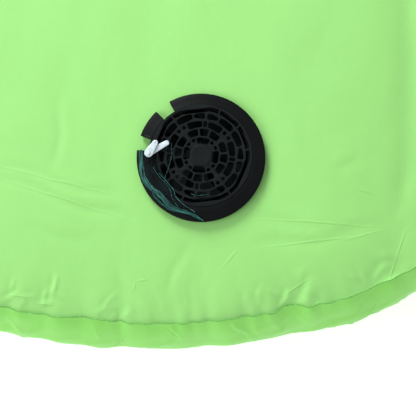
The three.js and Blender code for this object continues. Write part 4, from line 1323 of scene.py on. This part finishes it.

# %% [markdown]
# ### Dust gauze, its satin hem and the clip
# A sheer dark gauze is drawn over the lower left of the grille. Its outer edge has a ruffled satin
# hem that runs down the rim, its free edge is a fine thread, and a small two-leaf plastic clip
# holds its upper corner. The satin is teal and folds lengthwise; its strong sheen is painted into
# its colour as light and dark streaking: painted highlight and painted shade.

# %% Gauze and satin finishes
def satin_cloth(name, color):
    bench = Bench(name, color, 0.3, Sheen_Weight=0.15, Sheen_Roughness=0.3, Specular_IOR_Level=0.25,
                  Sheen_Tint=(0.25, 0.75, 0.65, 1))
    painted_light_streaks = bench.add("ShaderNodeMapping")
    painted_light_streaks.inputs["Scale"].default_value = (5.5, 3.5, 1)
    bench.link(bench.add("ShaderNodeTexCoord").outputs["UV"], painted_light_streaks.inputs["Vector"])
    # The colour is streaked along the band from a fifth of the teal to three times it: painted shade
    # and painted highlight that stand in for the satin's sheen.
    bench.color(bench.noise(1.6, 4, 0.55, painted_light_streaks.outputs["Vector"]),
                [(0.40, [c * 0.2 for c in color]), (0.52, color),
                 (0.60, [min(1, c * 3.0) for c in color]), (0.66, color)])
    bench.rough(bench.noise(320, 2), 0.22, 0.45)
    bench.bump(bench.noise(420, 3, 0.6, bench.stretched((1, 0.5, 1), (0, 0, 0.7))), 0.5, 0.0004)
    bench.bump(bench.wave(2600, "DIAGONAL"), 0.15, 0.00004)
    return bench.material


def sheer_cloth(name, color, cover):
    bench = Bench(name, color, 0.6, Alpha=cover, Sheen_Weight=0.04, Specular_IOR_Level=0.1)
    bench.color(bench.noise(110, 3), shades(color, 0.4, 1.8))
    bench.bump(bench.noise(240, 3, 0.6, bench.stretched((1, 0.4, 1), (0, 0, 0.7))), 0.4, 0.0003)
    return bench.material


# The hem's satin and the threads' finish both carry these painted highlights and painted shade.
satin = satin_cloth("teal_satin", (0.018, 0.095, 0.080))
thread_finish = satin_cloth("teal_thread", (0.045, 0.170, 0.145))
gauze_cloth = sheer_cloth("sheer_dark_gauze", (0.005, 0.011, 0.012), 0.3)
print("satin and gauze ready")

# %% Lines on the blower's face
def face_height(x, y):
    """Top of the blower's face in its own millimetres: the grille, the rim's slope or its edge."""
    radius = math.hypot(x - RIM_CENTRE[0], y - RIM_CENTRE[1])
    if math.hypot(x, y) < SEAT:
        return GRILLE_HIGH
    return 9.0 - max(radius - 45.3, 0) * 0.26 - max(radius - 53.2, 0) * 0.9


def smooth_line(points, count):
    """Evenly spread points along a smooth curve through the given ones."""
    knots = np.array(points, float)
    at = np.concatenate([[0], np.cumsum(np.linalg.norm(np.diff(knots, axis=0), axis=1))])
    fine = np.linspace(0, at[-1], 400)
    line = np.stack([np.interp(fine, at, knots[:, k]) for k in range(knots.shape[1])], 1)
    for _ in range(260):
        line[1:-1] = (line[:-2] + 2 * line[1:-1] + line[2:]) / 4
    walked = np.concatenate([[0], np.cumsum(np.linalg.norm(np.diff(line, axis=0), axis=1))])
    even = np.linspace(0, walked[-1], count)
    return np.stack([np.interp(even, walked, line[:, k]) for k in range(knots.shape[1])], 1)


# Middle of the hem and its width, in the blower's millimetres.
HEM = [
    (-51.6, 4.4, 3.0), (-50.9, -5.2, 4.2), (-50.7, -11.4, 5.0), (-49.6, -18.2, 5.2),
    (-46.1, -24.5, 5.0), (-41.8, -28.4, 4.8), (-37.0, -31.7, 5.0), (-31.8, -37.0, 5.2),
    (-28.0, -41.8, 4.6),
    (-23.2, -45.7, 4.0), (-16.5, -47.6, 3.6), (-9.8, -49.0, 3.4), (-3.6, -52.4, 2.8), (1.9, -55.4, 1.6)]
GAUZE_EDGE = [
    (-38.5, -0.6), (-37.0, -8.0), (-35.9, -15.2), (-31.0, -20.4), (-27.9, -24.0), (-23.4, -29.3),
    (-21.4, -35.9), (-15.8, -41.2), (-11.6, -44.4), (-5.0, -48.4)]
print("hem of", len(HEM), "points")

# %% Gauze
hem_line = smooth_line(HEM, 121)
edge_line = smooth_line(GAUZE_EDGE, 121)


def gauze_place(u, v):
    k = min(int(round(v * 120)), 120)
    free, hem = edge_line[k], hem_line[k][:2]
    x, y = free + (hem - free) * u
    fold = 0.5 + 0.5 * math.sin(26 * u + 9 * v + 3 * math.sin(5 * v))
    loose = math.sin(math.pi * u) ** 0.5
    lift = 0.42 + 0.30 * loose * fold * (0.6 + 0.4 * noise.noise(Vector((x * 0.12, y * 0.12, 2))))
    return (x * MM, y * MM, (max(face_height(x, y), face_height(x * 0.96, y * 0.96)) + lift) * MM)


gauze = laid_strip("dust_gauze", 40, 120, gauze_place)
thicken(recalculate(gauze), 0.00012, 0)
finished(smooth(fix_place(gauze, BLOWER), 80), gauze_cloth, node="gauze_screen")
print("gauze", len(gauze.data.polygons), "faces")

# %% Satin hem
def ribbon(name, line, ripple, count=160, across=12):
    """A ruffled band along a line of (x, y, width)."""
    path = smooth_line(line, count + 1)
    run = np.gradient(path[:, :2], axis=0)
    run /= np.linalg.norm(run, axis=1)[:, None]

    def place(u, v):
        k = min(int(round(v * count)), count)
        x0, y0, width = path[k]
        width *= 0.86
        side = np.array([-run[k][1], run[k][0]])
        wander = 0.35 * noise.noise(Vector((k * 0.09, 1.5, ripple)))
        x, y = np.array([x0, y0]) + side * ((u - 0.5) * width * (1 + wander) + 0.5 * wander)
        folds = math.sin(9.5 * u + 0.045 * k * ripple + 2.2 * noise.noise(Vector((k * 0.05, 0, 7))))
        gather = noise.noise(Vector((u * 2.5, k * 0.16, 3 + ripple)))
        lift = 0.95 + 0.5 * folds * math.sin(math.pi * min(max(u, 0.05), 0.95)) + 0.45 * gather
        return (x * MM, y * MM, (face_height(x, y) + max(lift, 0.35)) * MM)

    piece = laid_strip(name, across, count, place)
    thicken(recalculate(piece), 0.0003, 0)
    return smooth(fix_place(piece, BLOWER), 80)


hem = finished(ribbon("satin_hem", HEM, 3.0), satin, node="gauze_hem")
# This narrow ribbon is laid on the hem only to make the bright line along it, a painted highlight.
highlight_strand = finished(ribbon("satin_highlight_strand", [
    (-42.0, -29.5, 0.8), (-39.5, -35.4, 1.4), (-33.6, -41.2, 1.6), (-27.6, -45.6, 1.2),
    (-22.0, -48.0, 0.6)],
    2.1, 70, 6), satin)
print("hem", len(hem.data.polygons), "faces")


def thread(name, line, radius, count=60, lift=0.75):
    """A fine thread lying on the blower's face, as a tube."""
    curve = bpy.data.curves.new(name, "CURVE")
    curve.dimensions, curve.bevel_depth, curve.bevel_resolution = "3D", radius * MM, 2
    curve.use_fill_caps = True
    spline = curve.splines.new("POLY")
    spline.points.add(count)
    for k, (point, (x, y)) in enumerate(zip(spline.points, smooth_line(line, count + 1))):
        wave = 0.25 * noise.noise(Vector((k * 0.3, radius * 9, 1)))
        point.co = (x * MM, y * MM, (face_height(x, y) + lift + wave) * MM, 1)
    take(placed(name, curve))
    bpy.ops.object.convert(target="MESH")
    return finished(smooth(fix_place(merge(named(name)), BLOWER), 80), thread_finish)


edge_thread = thread("gauze_edge_thread", GAUZE_EDGE[2:], 0.22)
loose_thread = thread("gauze_loose_thread", [
    (-25.4, 10.6), (-24.9, 0.4), (-26.3, -5.8), (-28.1, -12.2), (-30.4, -18.0), (-31.0, -20.4)],
    0.13, 50, 0.4)
caught_thread = thread("gauze_caught_thread", [
    (-8.6, -32.6), (-6.0, -33.9), (-1.5, -34.3), (3.0, -33.6), (6.4, -32.9)], 0.2, 30, -1.6)
fold_thread = thread("gauze_fold_thread", [
    (-41.0, -10.0), (-36.9, -16.8), (-30.0, -24.0), (-25.6, -30.4), (-24.6, -37.2), (-20.0, -43.4)],
    0.12, 50, 0.9)
print("threads ready")

# %% Clip
clip_plastic = Bench("milky_clip_plastic", (0.60, 0.70, 0.76), 0.3, Subsurface_Weight=0.25,
                     Subsurface_Radius=(0.004, 0.005, 0.006), Subsurface_Scale=0.5,
                     Specular_IOR_Level=0.5)
# The colour noise mixes the clip's own milky streaking with painted highlights: the lightest stop is
# the near-white of a highlight.
clip_plastic.color(clip_plastic.noise(420, 4, 0.65),
                   [(0.3, (0.47, 0.58, 0.65)), (0.5, (0.62, 0.74, 0.81)), (0.7, (0.84, 0.93, 0.97))])
clip_plastic.rough(clip_plastic.noise(500, 2), 0.2, 0.42)
clip_plastic.bump(clip_plastic.noise(700, 3), 0.4, 0.00025)
CLIP_PIN = (-44.5, 1.6)
CLIP_HOLE = 1.25


def leaf_line(tip, pin_end, tip_end, count=18):
    """A drop-shaped outline round two circles, one at the pin and one at the tip."""
    dx, dy = tip[0] - CLIP_PIN[0], tip[1] - CLIP_PIN[1]
    length, angle = math.hypot(dx, dy), math.atan2(dy, dx)
    lean = math.acos((pin_end - tip_end) / length)
    line = []
    for centre, radius, start, end in ((CLIP_PIN, pin_end, lean, 2 * math.pi - lean),
                                       (tip, tip_end, -lean, lean)):
        for k in range(count + 1):
            turn = angle + start + (end - start) * k / count
            line.append((centre[0] + radius * math.cos(turn), centre[1] + radius * math.sin(turn)))
    return line


def leaf(name, tip, pin_end, tip_end, low, high, body, node, dimple):
    piece = plate(name, [leaf_line(tip, pin_end, tip_end), ring_line(CLIP_HOLE, CLIP_PIN, 28)],
                  low, high, edge=0.6, steps=3)
    if dimple:
        socket = drum("dimple", 0.55, high - 0.7, high + 1, 24)
        socket.location = (tip[0] * MM, tip[1] * MM, 0)
        cut_away(piece, fix_place(socket))
    smooth(piece, 50)
    return finished(fix_place(piece, BLOWER), clip_plastic.material, body, node)


leaf("clip_lower", (-29.3, 10.2), 3.0, 2.2, 11.2, 13.0, "mat", "clip_lower_leaf", False)
leaf("clip_upper", (-38.9, 10.2), 3.7, 2.3, 13.3, 15.1, "clip_leaf", "clip_upper_leaf", True)
rivet = turned("clip_rivet", [(0, 11.05), (1.0, 11.05), (1.0, 15.4), (1.65, 15.4), (1.6, 15.75),
                              (1.2, 15.98), (0, 16.02)], 36)
rivet.location = (CLIP_PIN[0] * MM, CLIP_PIN[1] * MM, 0)
fix_place(rivet)
finished(smooth(fix_place(rivet, BLOWER), 40), clip_plastic.material, node="clip_pin")
print("clip ready")

# %% [markdown]
# ## The right side
# The right wall carries what the blower needs: a cloth pocket with the battery box, whose lid slides
# up and whose switch slides along its top, and the deflation zip. A webbing handle is sewn to each
# side wall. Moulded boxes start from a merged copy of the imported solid, whose edges are rounded.

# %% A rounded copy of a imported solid
def from_frame(name, node, round_edge, angle=30):
    """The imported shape, merged, with its flat faces made whole and its edges rounded."""
    mesh = frame["nodes"][node].data.copy()
    obj = placed(name, mesh)
    mesh.name = name
    obj.hide_render = obj.hide_viewport = False
    in_edit_mode(obj, lambda: bpy.ops.mesh.remove_doubles(threshold=1e-6),
                 bpy.ops.mesh.customdata_custom_splitnormals_clear,
                 lambda: bpy.ops.mesh.dissolve_limited(angle_limit=math.radians(1)))
    return soften(obj, round_edge, 2, angle) if round_edge else smooth(obj, angle)


box_low, box_high = (Vector(c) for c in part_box("battery_box"))
pocket_low, pocket_high = (Vector(c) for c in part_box("battery_pocket"))
lid_low, lid_high = (Vector(c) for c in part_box("battery_lid"))
print("battery box", [round(v, 4) for v in box_high - box_low])

# %% Battery box, lid and switch
steel = Bench("brushed_steel", (0.52, 0.53, 0.54), 0.32, Metallic=1.0)
steel.color(steel.noise(300, 3), shades((0.52, 0.53, 0.54), 0.85, 1.12))
steel.rough(steel.noise(500, 3, 0.6, steel.stretched((1, 0.1, 1))), 0.24, 0.45)
steel.bump(steel.noise(900, 2), 0.2, 0.00004)
switch_nylon = plastic("pale_nylon", (0.62, 0.63, 0.59), 0.45, gloss=0.4)

case = from_frame("battery_case", "battery_box", 0.0005)
finished(case, black_plastic, node="battery_box")
lid = from_frame("sliding_lid", "battery_lid", 0.0004)
grips = []
lid_middle = (lid_low.y + lid_high.y) / 2
for k in range(6):
    z = lid_high.z - 0.006 - k * 0.0022
    grips.append(block("grip_line", (lid_high.x - 0.00035, lid_middle - 0.011, z - 0.0005),
                       (lid_high.x + 0.001, lid_middle + 0.011, z + 0.0005)))
cut_away(lid, *grips)
lid_plastic = plastic("lid_plastic", (0.0075, 0.0085, 0.0090), 0.5, 0.00006)
finished(smooth(lid, 30), lid_plastic, "battery_lid", "battery_lid")
knob = from_frame("switch_knob", "power_switch", 0.0003)
finished(knob, switch_nylon, "power_switch", "power_switch")
print("battery case, lid and knob", [len(obj.data.polygons) for obj in (case, lid, knob)])

# %% [markdown]
# The pocket is a bag of the mat's own cloth, open at the top, with a bound mouth and a flange sewn to
# the wall on three sides. Its faces are slack, so they swell a little and wrinkle at the corners.

# %% Pocket
POCKET_CLOTH = 0.0008
pocket_middle = (pocket_low.y + pocket_high.y) / 2
POCKET_HALF = (pocket_high.y - pocket_low.y) / 2
WALL_FACE = END_RADIUS + 0.0006


def pocket_place(u, v):
    """Round the three upright sides with u, and up from the floor of the bag with v."""
    depth = pocket_high.x - WALL_FACE - 0.0004
    corner = 0.0035
    run = 2 * (depth - corner) + 2 * (POCKET_HALF - corner) + math.pi * corner
    s = u * run
    side_run, bend, face = depth - corner, math.pi / 2 * corner, 2 * (POCKET_HALF - corner)
    if s < side_run:
        x, y, out = WALL_FACE + s, -POCKET_HALF, (0, -1)
    elif s < side_run + bend:
        a = (s - side_run) / corner
        x, y = WALL_FACE + side_run + corner * math.sin(a), -POCKET_HALF + corner - corner * math.cos(a)
        out = (math.sin(a), -math.cos(a))
    elif s < side_run + bend + face:
        x, y, out = WALL_FACE + depth, -POCKET_HALF + corner + (s - side_run - bend), (1, 0)
    elif s < side_run + 2 * bend + face:
        a = (s - side_run - bend - face) / corner
        x, y = WALL_FACE + side_run + corner * math.cos(a), POCKET_HALF - corner + corner * math.sin(a)
        out = (math.cos(a), math.sin(a))
    else:
        x, y, out = WALL_FACE + side_run - (s - side_run - 2 * bend - face), POCKET_HALF, (0, 1)
    z = pocket_low.z + 0.0004 + v * (pocket_high.z - pocket_low.z - 0.0004)
    slack = math.sin(math.pi * min(max(v, 0), 1)) * 0.0010
    slack += 0.0011 * (0.5 + noise.noise(Vector((s * 90, z * 130, 3)))) * min(1, 4 * v)
    slack += 0.0006 * (0.5 + 0.5 * math.sin(s * 700 + 2 * math.sin(z * 200))) * math.exp(-v / 0.12)
    slack *= min(1, (s / 0.004)) * min(1, max((run - s) / 0.004, 0))
    return (x + out[0] * slack, pocket_middle + y + out[1] * slack, z)


# The pocket takes the walls' green, with its painted light and shade, a little darker.
pocket_cloth = coated_cloth("pocket_cloth", [c * 0.93 for c in SIDE_GREEN], 0.6)
pocket = laid_strip("cloth_pocket", 110, 40, pocket_place)
take(pocket)
bpy.ops.object.mode_set(mode="EDIT")
bpy.ops.mesh.select_mode(type="EDGE")
bpy.ops.mesh.select_all(action="DESELECT")
bpy.ops.object.mode_set(mode="OBJECT")
floor_z = min(v.co.z for v in pocket.data.vertices)
for edge in pocket.data.edges:
    edge.select = all(pocket.data.vertices[i].co.z < floor_z + 1e-5 for i in edge.vertices)
bpy.ops.object.mode_set(mode="EDIT")
bpy.ops.mesh.edge_face_add()
bpy.ops.object.mode_set(mode="OBJECT")
thicken(merge(pocket), POCKET_CLOTH)
recalculate(pocket)
finished(smooth(pocket, 50), pocket_cloth, node="battery_pocket")
print("pocket", len(pocket.data.polygons), "faces")


# %% [markdown]
# Bindings, webbing and zip tapes are bands that follow a path: a grid whose length runs along the
# path and whose width runs across it. Stitches are short rounded stubs, modelled once and copied
# along a line.

# %% Bands and stitches
def band(name, path, across, width, thickness, count=80, rows=8, crown=0.0):
    """A strap along path(t) with its width along the fixed direction across."""
    across = Vector(across)

    def place(u, v):
        centre, out = path(v)
        lift = Vector(out) * (crown * math.sin(math.pi * u))
        return Vector(centre) + across * ((u - 0.5) * width) + lift

    strap = laid_strip(name, rows, count, place)
    thicken(recalculate(strap), thickness, 0)
    return strap


stitch_thread = Bench("sewing_thread", (0.42, 0.86, 0.30), 0.6, Sheen_Weight=0.3)
stitch_thread.color(stitch_thread.noise(2000, 2), shades((0.42, 0.86, 0.30), 0.8, 1.1))
stitch_thread.bump(stitch_thread.wave(1500, "DIAGONAL"), 0.4, 0.0001)


def stitches(name, places, length=0.0024, radius=0.00032, body="mat"):
    """One stub, copied to each (place, direction, outwards) and joined into one row of stitches."""
    deselect()
    bpy.ops.mesh.primitive_cylinder_add(vertices=6, radius=radius, depth=length)
    stub = named(name)
    in_edit_mode(stub, lambda: bpy.ops.mesh.bevel(offset=radius * 0.6, segments=1))
    copies = []
    for place, direction, out in places:
        copy = placed(name, stub.data.copy())
        turn = Vector(direction).to_track_quat("Z", "Y")
        spot = Vector(place) + Vector(out) * radius * 0.35
        copy.matrix_world = Matrix.Translation(spot) @ turn.to_matrix().to_4x4()
        copies.append(copy)
    bpy.data.objects.remove(stub)
    joined(*copies)
    row = named(name)
    return finished(smooth(fix_place(row), 60), stitch_thread.material, body)


print("bands and stitches ready")

# %% Pocket binding and its stitches
mouth = [Vector(pocket_place(u / 60, 1.0)) for u in range(61)]


def mouth_at(t):
    spot = t * 60
    k = min(int(spot), 59)
    centre = mouth[k].lerp(mouth[k + 1], spot - k)
    run = (mouth[k + 1] - mouth[k]).normalized()
    out = run.cross(Vector((0, 0, 1)))
    return centre + out * 0.0006 - Vector((0, 0, 0.0035)), out


binding = band("pocket_binding", mouth_at, (0, 0, 1), 0.007, 0.0007, 120, 6, 0.0004)
binding_cloth = coated_cloth("binding_tape", (0.17, 0.50, 0.11), 0.7)
finished(smooth(binding, 50), binding_cloth)
rows = []
for k in range(20):
    spot, out = mouth_at((k + 0.5) / 20)
    after, _ = mouth_at(min((k + 0.7) / 20, 1))
    rows.append((spot + out * 0.0009 - Vector((0, 0, 0.0018)), after - spot, out))
pocket_stitches = stitches("pocket_stitches", rows)
print("binding and", len(rows), "stitches")

# %% Handles
WEBBING_GREEN = (0.115, 0.36, 0.075)
webbing_finish = Bench("green_webbing", WEBBING_GREEN, 0.75, Sheen_Weight=0.3, Specular_IOR_Level=0.2)
webbing_finish.color(webbing_finish.noise(260, 3), shades(WEBBING_GREEN, 0.75, 1.25))
webbing_finish.bump(webbing_finish.wave(380, "Z"), 0.7, 0.0003)
webbing_finish.bump(webbing_finish.wave(420, "Y"), 0.45, 0.0002)
WEBBING = 0.0020
handle_high = Vector(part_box("handle_right")[1])
HANDLE_HALF = handle_high.y
GRIP_OUT = handle_high.x - WEBBING / 2


def handle_path(t):
    """From one foot to the other: flat, an easy rise away from the wall, and flat again."""
    y = (2 * t - 1) * HANDLE_HALF
    foot, span = WALL_FACE + WEBBING / 2, HANDLE_HALF - 0.032
    share = min(max((span - abs(y)) / 0.024, 0), 1)
    ease = share * share * (3 - 2 * share)
    sag = 0.0006 * math.sin(y * 60)
    return (foot + (GRIP_OUT - foot - abs(sag)) * ease, y, WALL_MIDDLE + sag), (1, 0, 0)


for side, word in ((1, "right"), (-1, "left")):
    strap = band(f"webbing_handle_{word}", handle_path, (0, 0, 1), 0.038, WEBBING, 150, 10, 0.0)
    edges = strap.modifiers.new("edge", "BEVEL")
    edges.width, edges.segments, edges.limit_method = 0.0005, 2, "ANGLE"
    edges.angle_limit = math.radians(50)
    apply_all(strap)
    rows = []
    for sign in (-1, 1):
        inner, outer = HANDLE_HALF - 0.030, HANDLE_HALF - 0.003
        corners = [(inner, -0.015), (outer, -0.015), (outer, 0.015), (inner, 0.015), (inner, -0.015),
                   (outer, 0.015), (outer, -0.015), (inner, 0.015)]
        for (y0, z0), (y1, z1) in zip(corners, corners[1:]):
            length = math.hypot(y1 - y0, z1 - z0)
            count = max(int(length / 0.0036), 1)
            for k in range(count):
                share = (k + 0.5) / count
                spot = (WALL_FACE + WEBBING + 0.0001, sign * (y0 + (y1 - y0) * share),
                        WALL_MIDDLE + z0 + (z1 - z0) * share)
                rows.append((spot, (0, sign * (y1 - y0), z1 - z0), (1, 0, 0)))
    box_x = stitches(f"handle_stitches_{word}", rows)
    if side < 0:
        for obj in (strap, box_x):
            obj.rotation_euler = (0, 0, math.pi)
            fix_place(obj)
    finished(smooth(strap, 40), webbing_finish.material, node=f"handle_{word}")
print("handles with", len(rows), "stitches each")

# %% [markdown]
# The zip lets the air out fast. Each half is a cloth tape with a row of moulded teeth on its edge. A
# tooth is modelled once, as a small bevelled block, and an array repeats it.

# %% Zip tapes and teeth
ZIP_PITCH = 0.0026
tooth_plastic = plastic("zip_tooth_plastic", (0.10, 0.33, 0.065), 0.4, gloss=0.4)
zip_cloth = coated_cloth("zip_tape_cloth", (0.20, 0.56, 0.13), 0.75)
for sign, word in ((-1, "lower"), (1, "upper")):
    low, high = (Vector(c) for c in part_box(f"zip_tape_{word}"))

    def tape_place(u, v, low=low, high=high):
        z = low.z + u * (high.z - low.z)
        x = END_RADIUS - wall_inset(z) + 0.0007
        ripple = 0.00035 * math.sin(v * 130 + 3 * u) * (u if sign > 0 else 1 - u)
        return (x + ripple, low.y + v * (high.y - low.y), z)

    tape_piece = laid_strip(f"zip_{word}_tape", 10, 160, tape_place)
    thicken(recalculate(tape_piece), 0.0007, 0)
    finished(smooth(tape_piece, 50), zip_cloth, node=f"zip_tape_{word}")
    chain_low, chain_high = (Vector(c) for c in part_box(f"zip_chain_{word}"))
    tooth = block("tooth", (chain_low.x, chain_low.y + 0.0003, chain_low.z + 0.0001),
                  (chain_high.x, chain_low.y + 0.0016, chain_high.z - 0.0001))
    in_edit_mode(tooth, lambda: bpy.ops.mesh.bevel(offset=0.0003, segments=1))
    row = tooth.modifiers.new("row", "ARRAY")
    row.use_relative_offset, row.use_constant_offset = False, True
    row.constant_offset_displace = (0, ZIP_PITCH, 0)
    row.count = int((chain_high.y - chain_low.y) / ZIP_PITCH)
    apply_all(tooth)
    shift = ZIP_PITCH / 2 if sign > 0 else 0
    tooth.location.y = shift
    cord_z = chain_high.z - 0.0004 if sign > 0 else chain_low.z + 0.0004
    deselect()
    bpy.ops.mesh.primitive_cylinder_add(
        vertices=12, radius=0.0007, depth=chain_high.y - chain_low.y - 0.0004,
        location=((chain_low.x + chain_high.x) / 2 - 0.0003, (chain_low.y + chain_high.y) / 2, cord_z),
        rotation=(math.pi / 2, 0, 0))
    cord = named("tooth_cord")
    joined(tooth, cord)
    teeth = named(f"zip_{word}_teeth")
    finished(smooth(fix_place(teeth), 40), tooth_plastic, node=f"zip_chain_{word}")
zip_rows = []
for edge_z in (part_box("zip_tape_lower")[0][2] + 0.0025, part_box("zip_tape_upper")[1][2] - 0.0025):
    for k in range(58):
        y = low.y + 0.004 + k * (high.y - low.y - 0.008) / 57
        out = END_RADIUS - float(wall_inset(edge_z)) + 0.0011
        zip_rows.append(((out, y, edge_z), (0, 1, 0), (1, 0, 0)))
stitches("zip_stitches", zip_rows)
print("zip teeth", len(teeth.data.polygons), "faces a side,", len(zip_rows), "stitches")

# %% Slider, pull and stop
zinc = Bench("zinc_casting", (0.42, 0.43, 0.45), 0.35, Metallic=1.0)
zinc.color(zinc.noise(260, 3), shades((0.42, 0.43, 0.45), 0.8, 1.15))
zinc.rough(zinc.noise(380, 3), 0.25, 0.5)
zinc.bump(zinc.noise(700, 2), 0.25, 0.00006)
slider = from_frame("cast_slider", "zip_slider", 0.00035, 35)
finished(slider, zinc.material, "zip_slider", "zip_slider")
pull = from_frame("slider_pull", "zip_pull", 0.0003, 35)
finished(pull, zinc.material, "zip_pull", "zip_pull")
stop = from_frame("top_stop", "zip_stop", 0.0004, 35)
finished(stop, zinc.material, node="zip_stop")
print("slider", len(slider.data.polygons), "pull", len(pull.data.polygons))

# %% Grommet, clamp ring and guard
rubber = plastic("soft_rubber", (0.010, 0.010, 0.010), 0.85, 0.0001)
grommet_box = [Vector(c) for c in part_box("lead_grommet")]
outer = (grommet_box[1].z - grommet_box[0].z) / 2 / MM
reach = (grommet_box[1].x - END_RADIUS) / MM
depth = (grommet_box[0].x - END_RADIUS) / MM
ring_piece = turned("rubber_grommet", [
    (1.95, depth), (outer - 0.3, depth), (outer, depth + 0.3), (outer, depth + 0.8),
    (outer - 0.2, depth + 1.0),
    (3.0, depth + 1.0), (3.0, reach - 1.0), (outer - 0.2, reach - 1.0), (outer, reach - 0.8),
    (outer - 0.1, reach - 0.3), (outer - 0.5, reach), (2.4, reach), (1.95, reach - 0.3)], 48)
ring_piece.rotation_euler = (0, math.pi / 2, 0)
ring_piece.location = (END_RADIUS, (grommet_box[0].y + grommet_box[1].y) / 2, WALL_MIDDLE)
finished(smooth(fix_place(ring_piece), 40), rubber, node="lead_grommet")
clamp = from_frame("clamping_ring", "clamp_ring", 0.0005, 30)
finished(clamp, black_plastic, node="clamp_ring")
guard = from_frame("outlet_cage", "outlet_guard", 0.0004, 35)
finished(guard, dark_plastic, node="outlet_guard")
print("grommet, clamp and guard ready")

# %% [markdown]
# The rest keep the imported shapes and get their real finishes: wound copper, brass bushes, plated
# steel, the ferrite magnet, the printed sleeves of the cells and the lead's rubber.

# %% Finishes of the inner parts
def metal(name, color, roughness=0.35):
    bench = Bench(name, color, roughness, Metallic=1.0)
    bench.color(bench.noise(300, 3), shades(color, 0.8, 1.12))
    bench.rough(bench.noise(420, 3), roughness - 0.08, roughness + 0.12)
    bench.bump(bench.noise(800, 2), 0.2, 0.00005)
    return bench


copper = metal("wound_copper", (0.62, 0.27, 0.12), 0.35)
copper.bump(copper.wave(700, "Z"), 0.7, 0.0002)
brass = metal("sintered_brass", (0.58, 0.42, 0.16), 0.45)
ferrite = plastic("grey_ferrite", (0.045, 0.045, 0.050), 0.6, 0.0001)
sleeve = plastic("cell_sleeve", (0.030, 0.080, 0.150), 0.3, 0.00003, 0.5)
PACKED_FINISH = {
    steel.material: ["guard_screw_1", "guard_screw_2", "guard_screw_3", "motor_can", "motor_shaft",
                     "contact_lower", "contact_upper"],
    copper.material: ["motor_armature"],
    brass.material: ["front_bush", "rear_bush"],
    ferrite: ["motor_magnet"],
    switch_nylon: ["motor_end_cap"],
    sleeve: ["cell_1", "cell_2", "cell_3", "cell_4"],
    rubber: ["power_lead"],
}
for material, nodes in PACKED_FINISH.items():
    for node in nodes:
        mesh = frame["nodes"][node].data
        mesh.materials.clear()
        mesh.materials.append(material)
shown = [name for name, obj in frame["nodes"].items() if not obj.hide_render]
print("packed solids still showing:", sorted(shown))

# %% [markdown]
# ## What is cloth
# No cut pattern is known, so what the finished meshes measure is all there is to go by: for each
# sheet of cloth, the area of one face of its finished mesh is printed. No cut pattern is known, so
# most of the flat sizes were set from what the finished meshes measure. A share near 1 says that the
# two agree, and doesn't prove the cut.

def cloth_area(obj):
    """One face of a thin closed sheet, in square metres."""
    return sum(face.area for face in obj.data.polygons) / 2


all_baffles = [sheet for sheet, _ in baffle_sheets]

for obj in (top_skin, bottom_skin, *wall_pieces.values(), pocket, gauze, *all_baffles):
    print("cloth", obj.name, round(cloth_area(obj), 5), "m2")
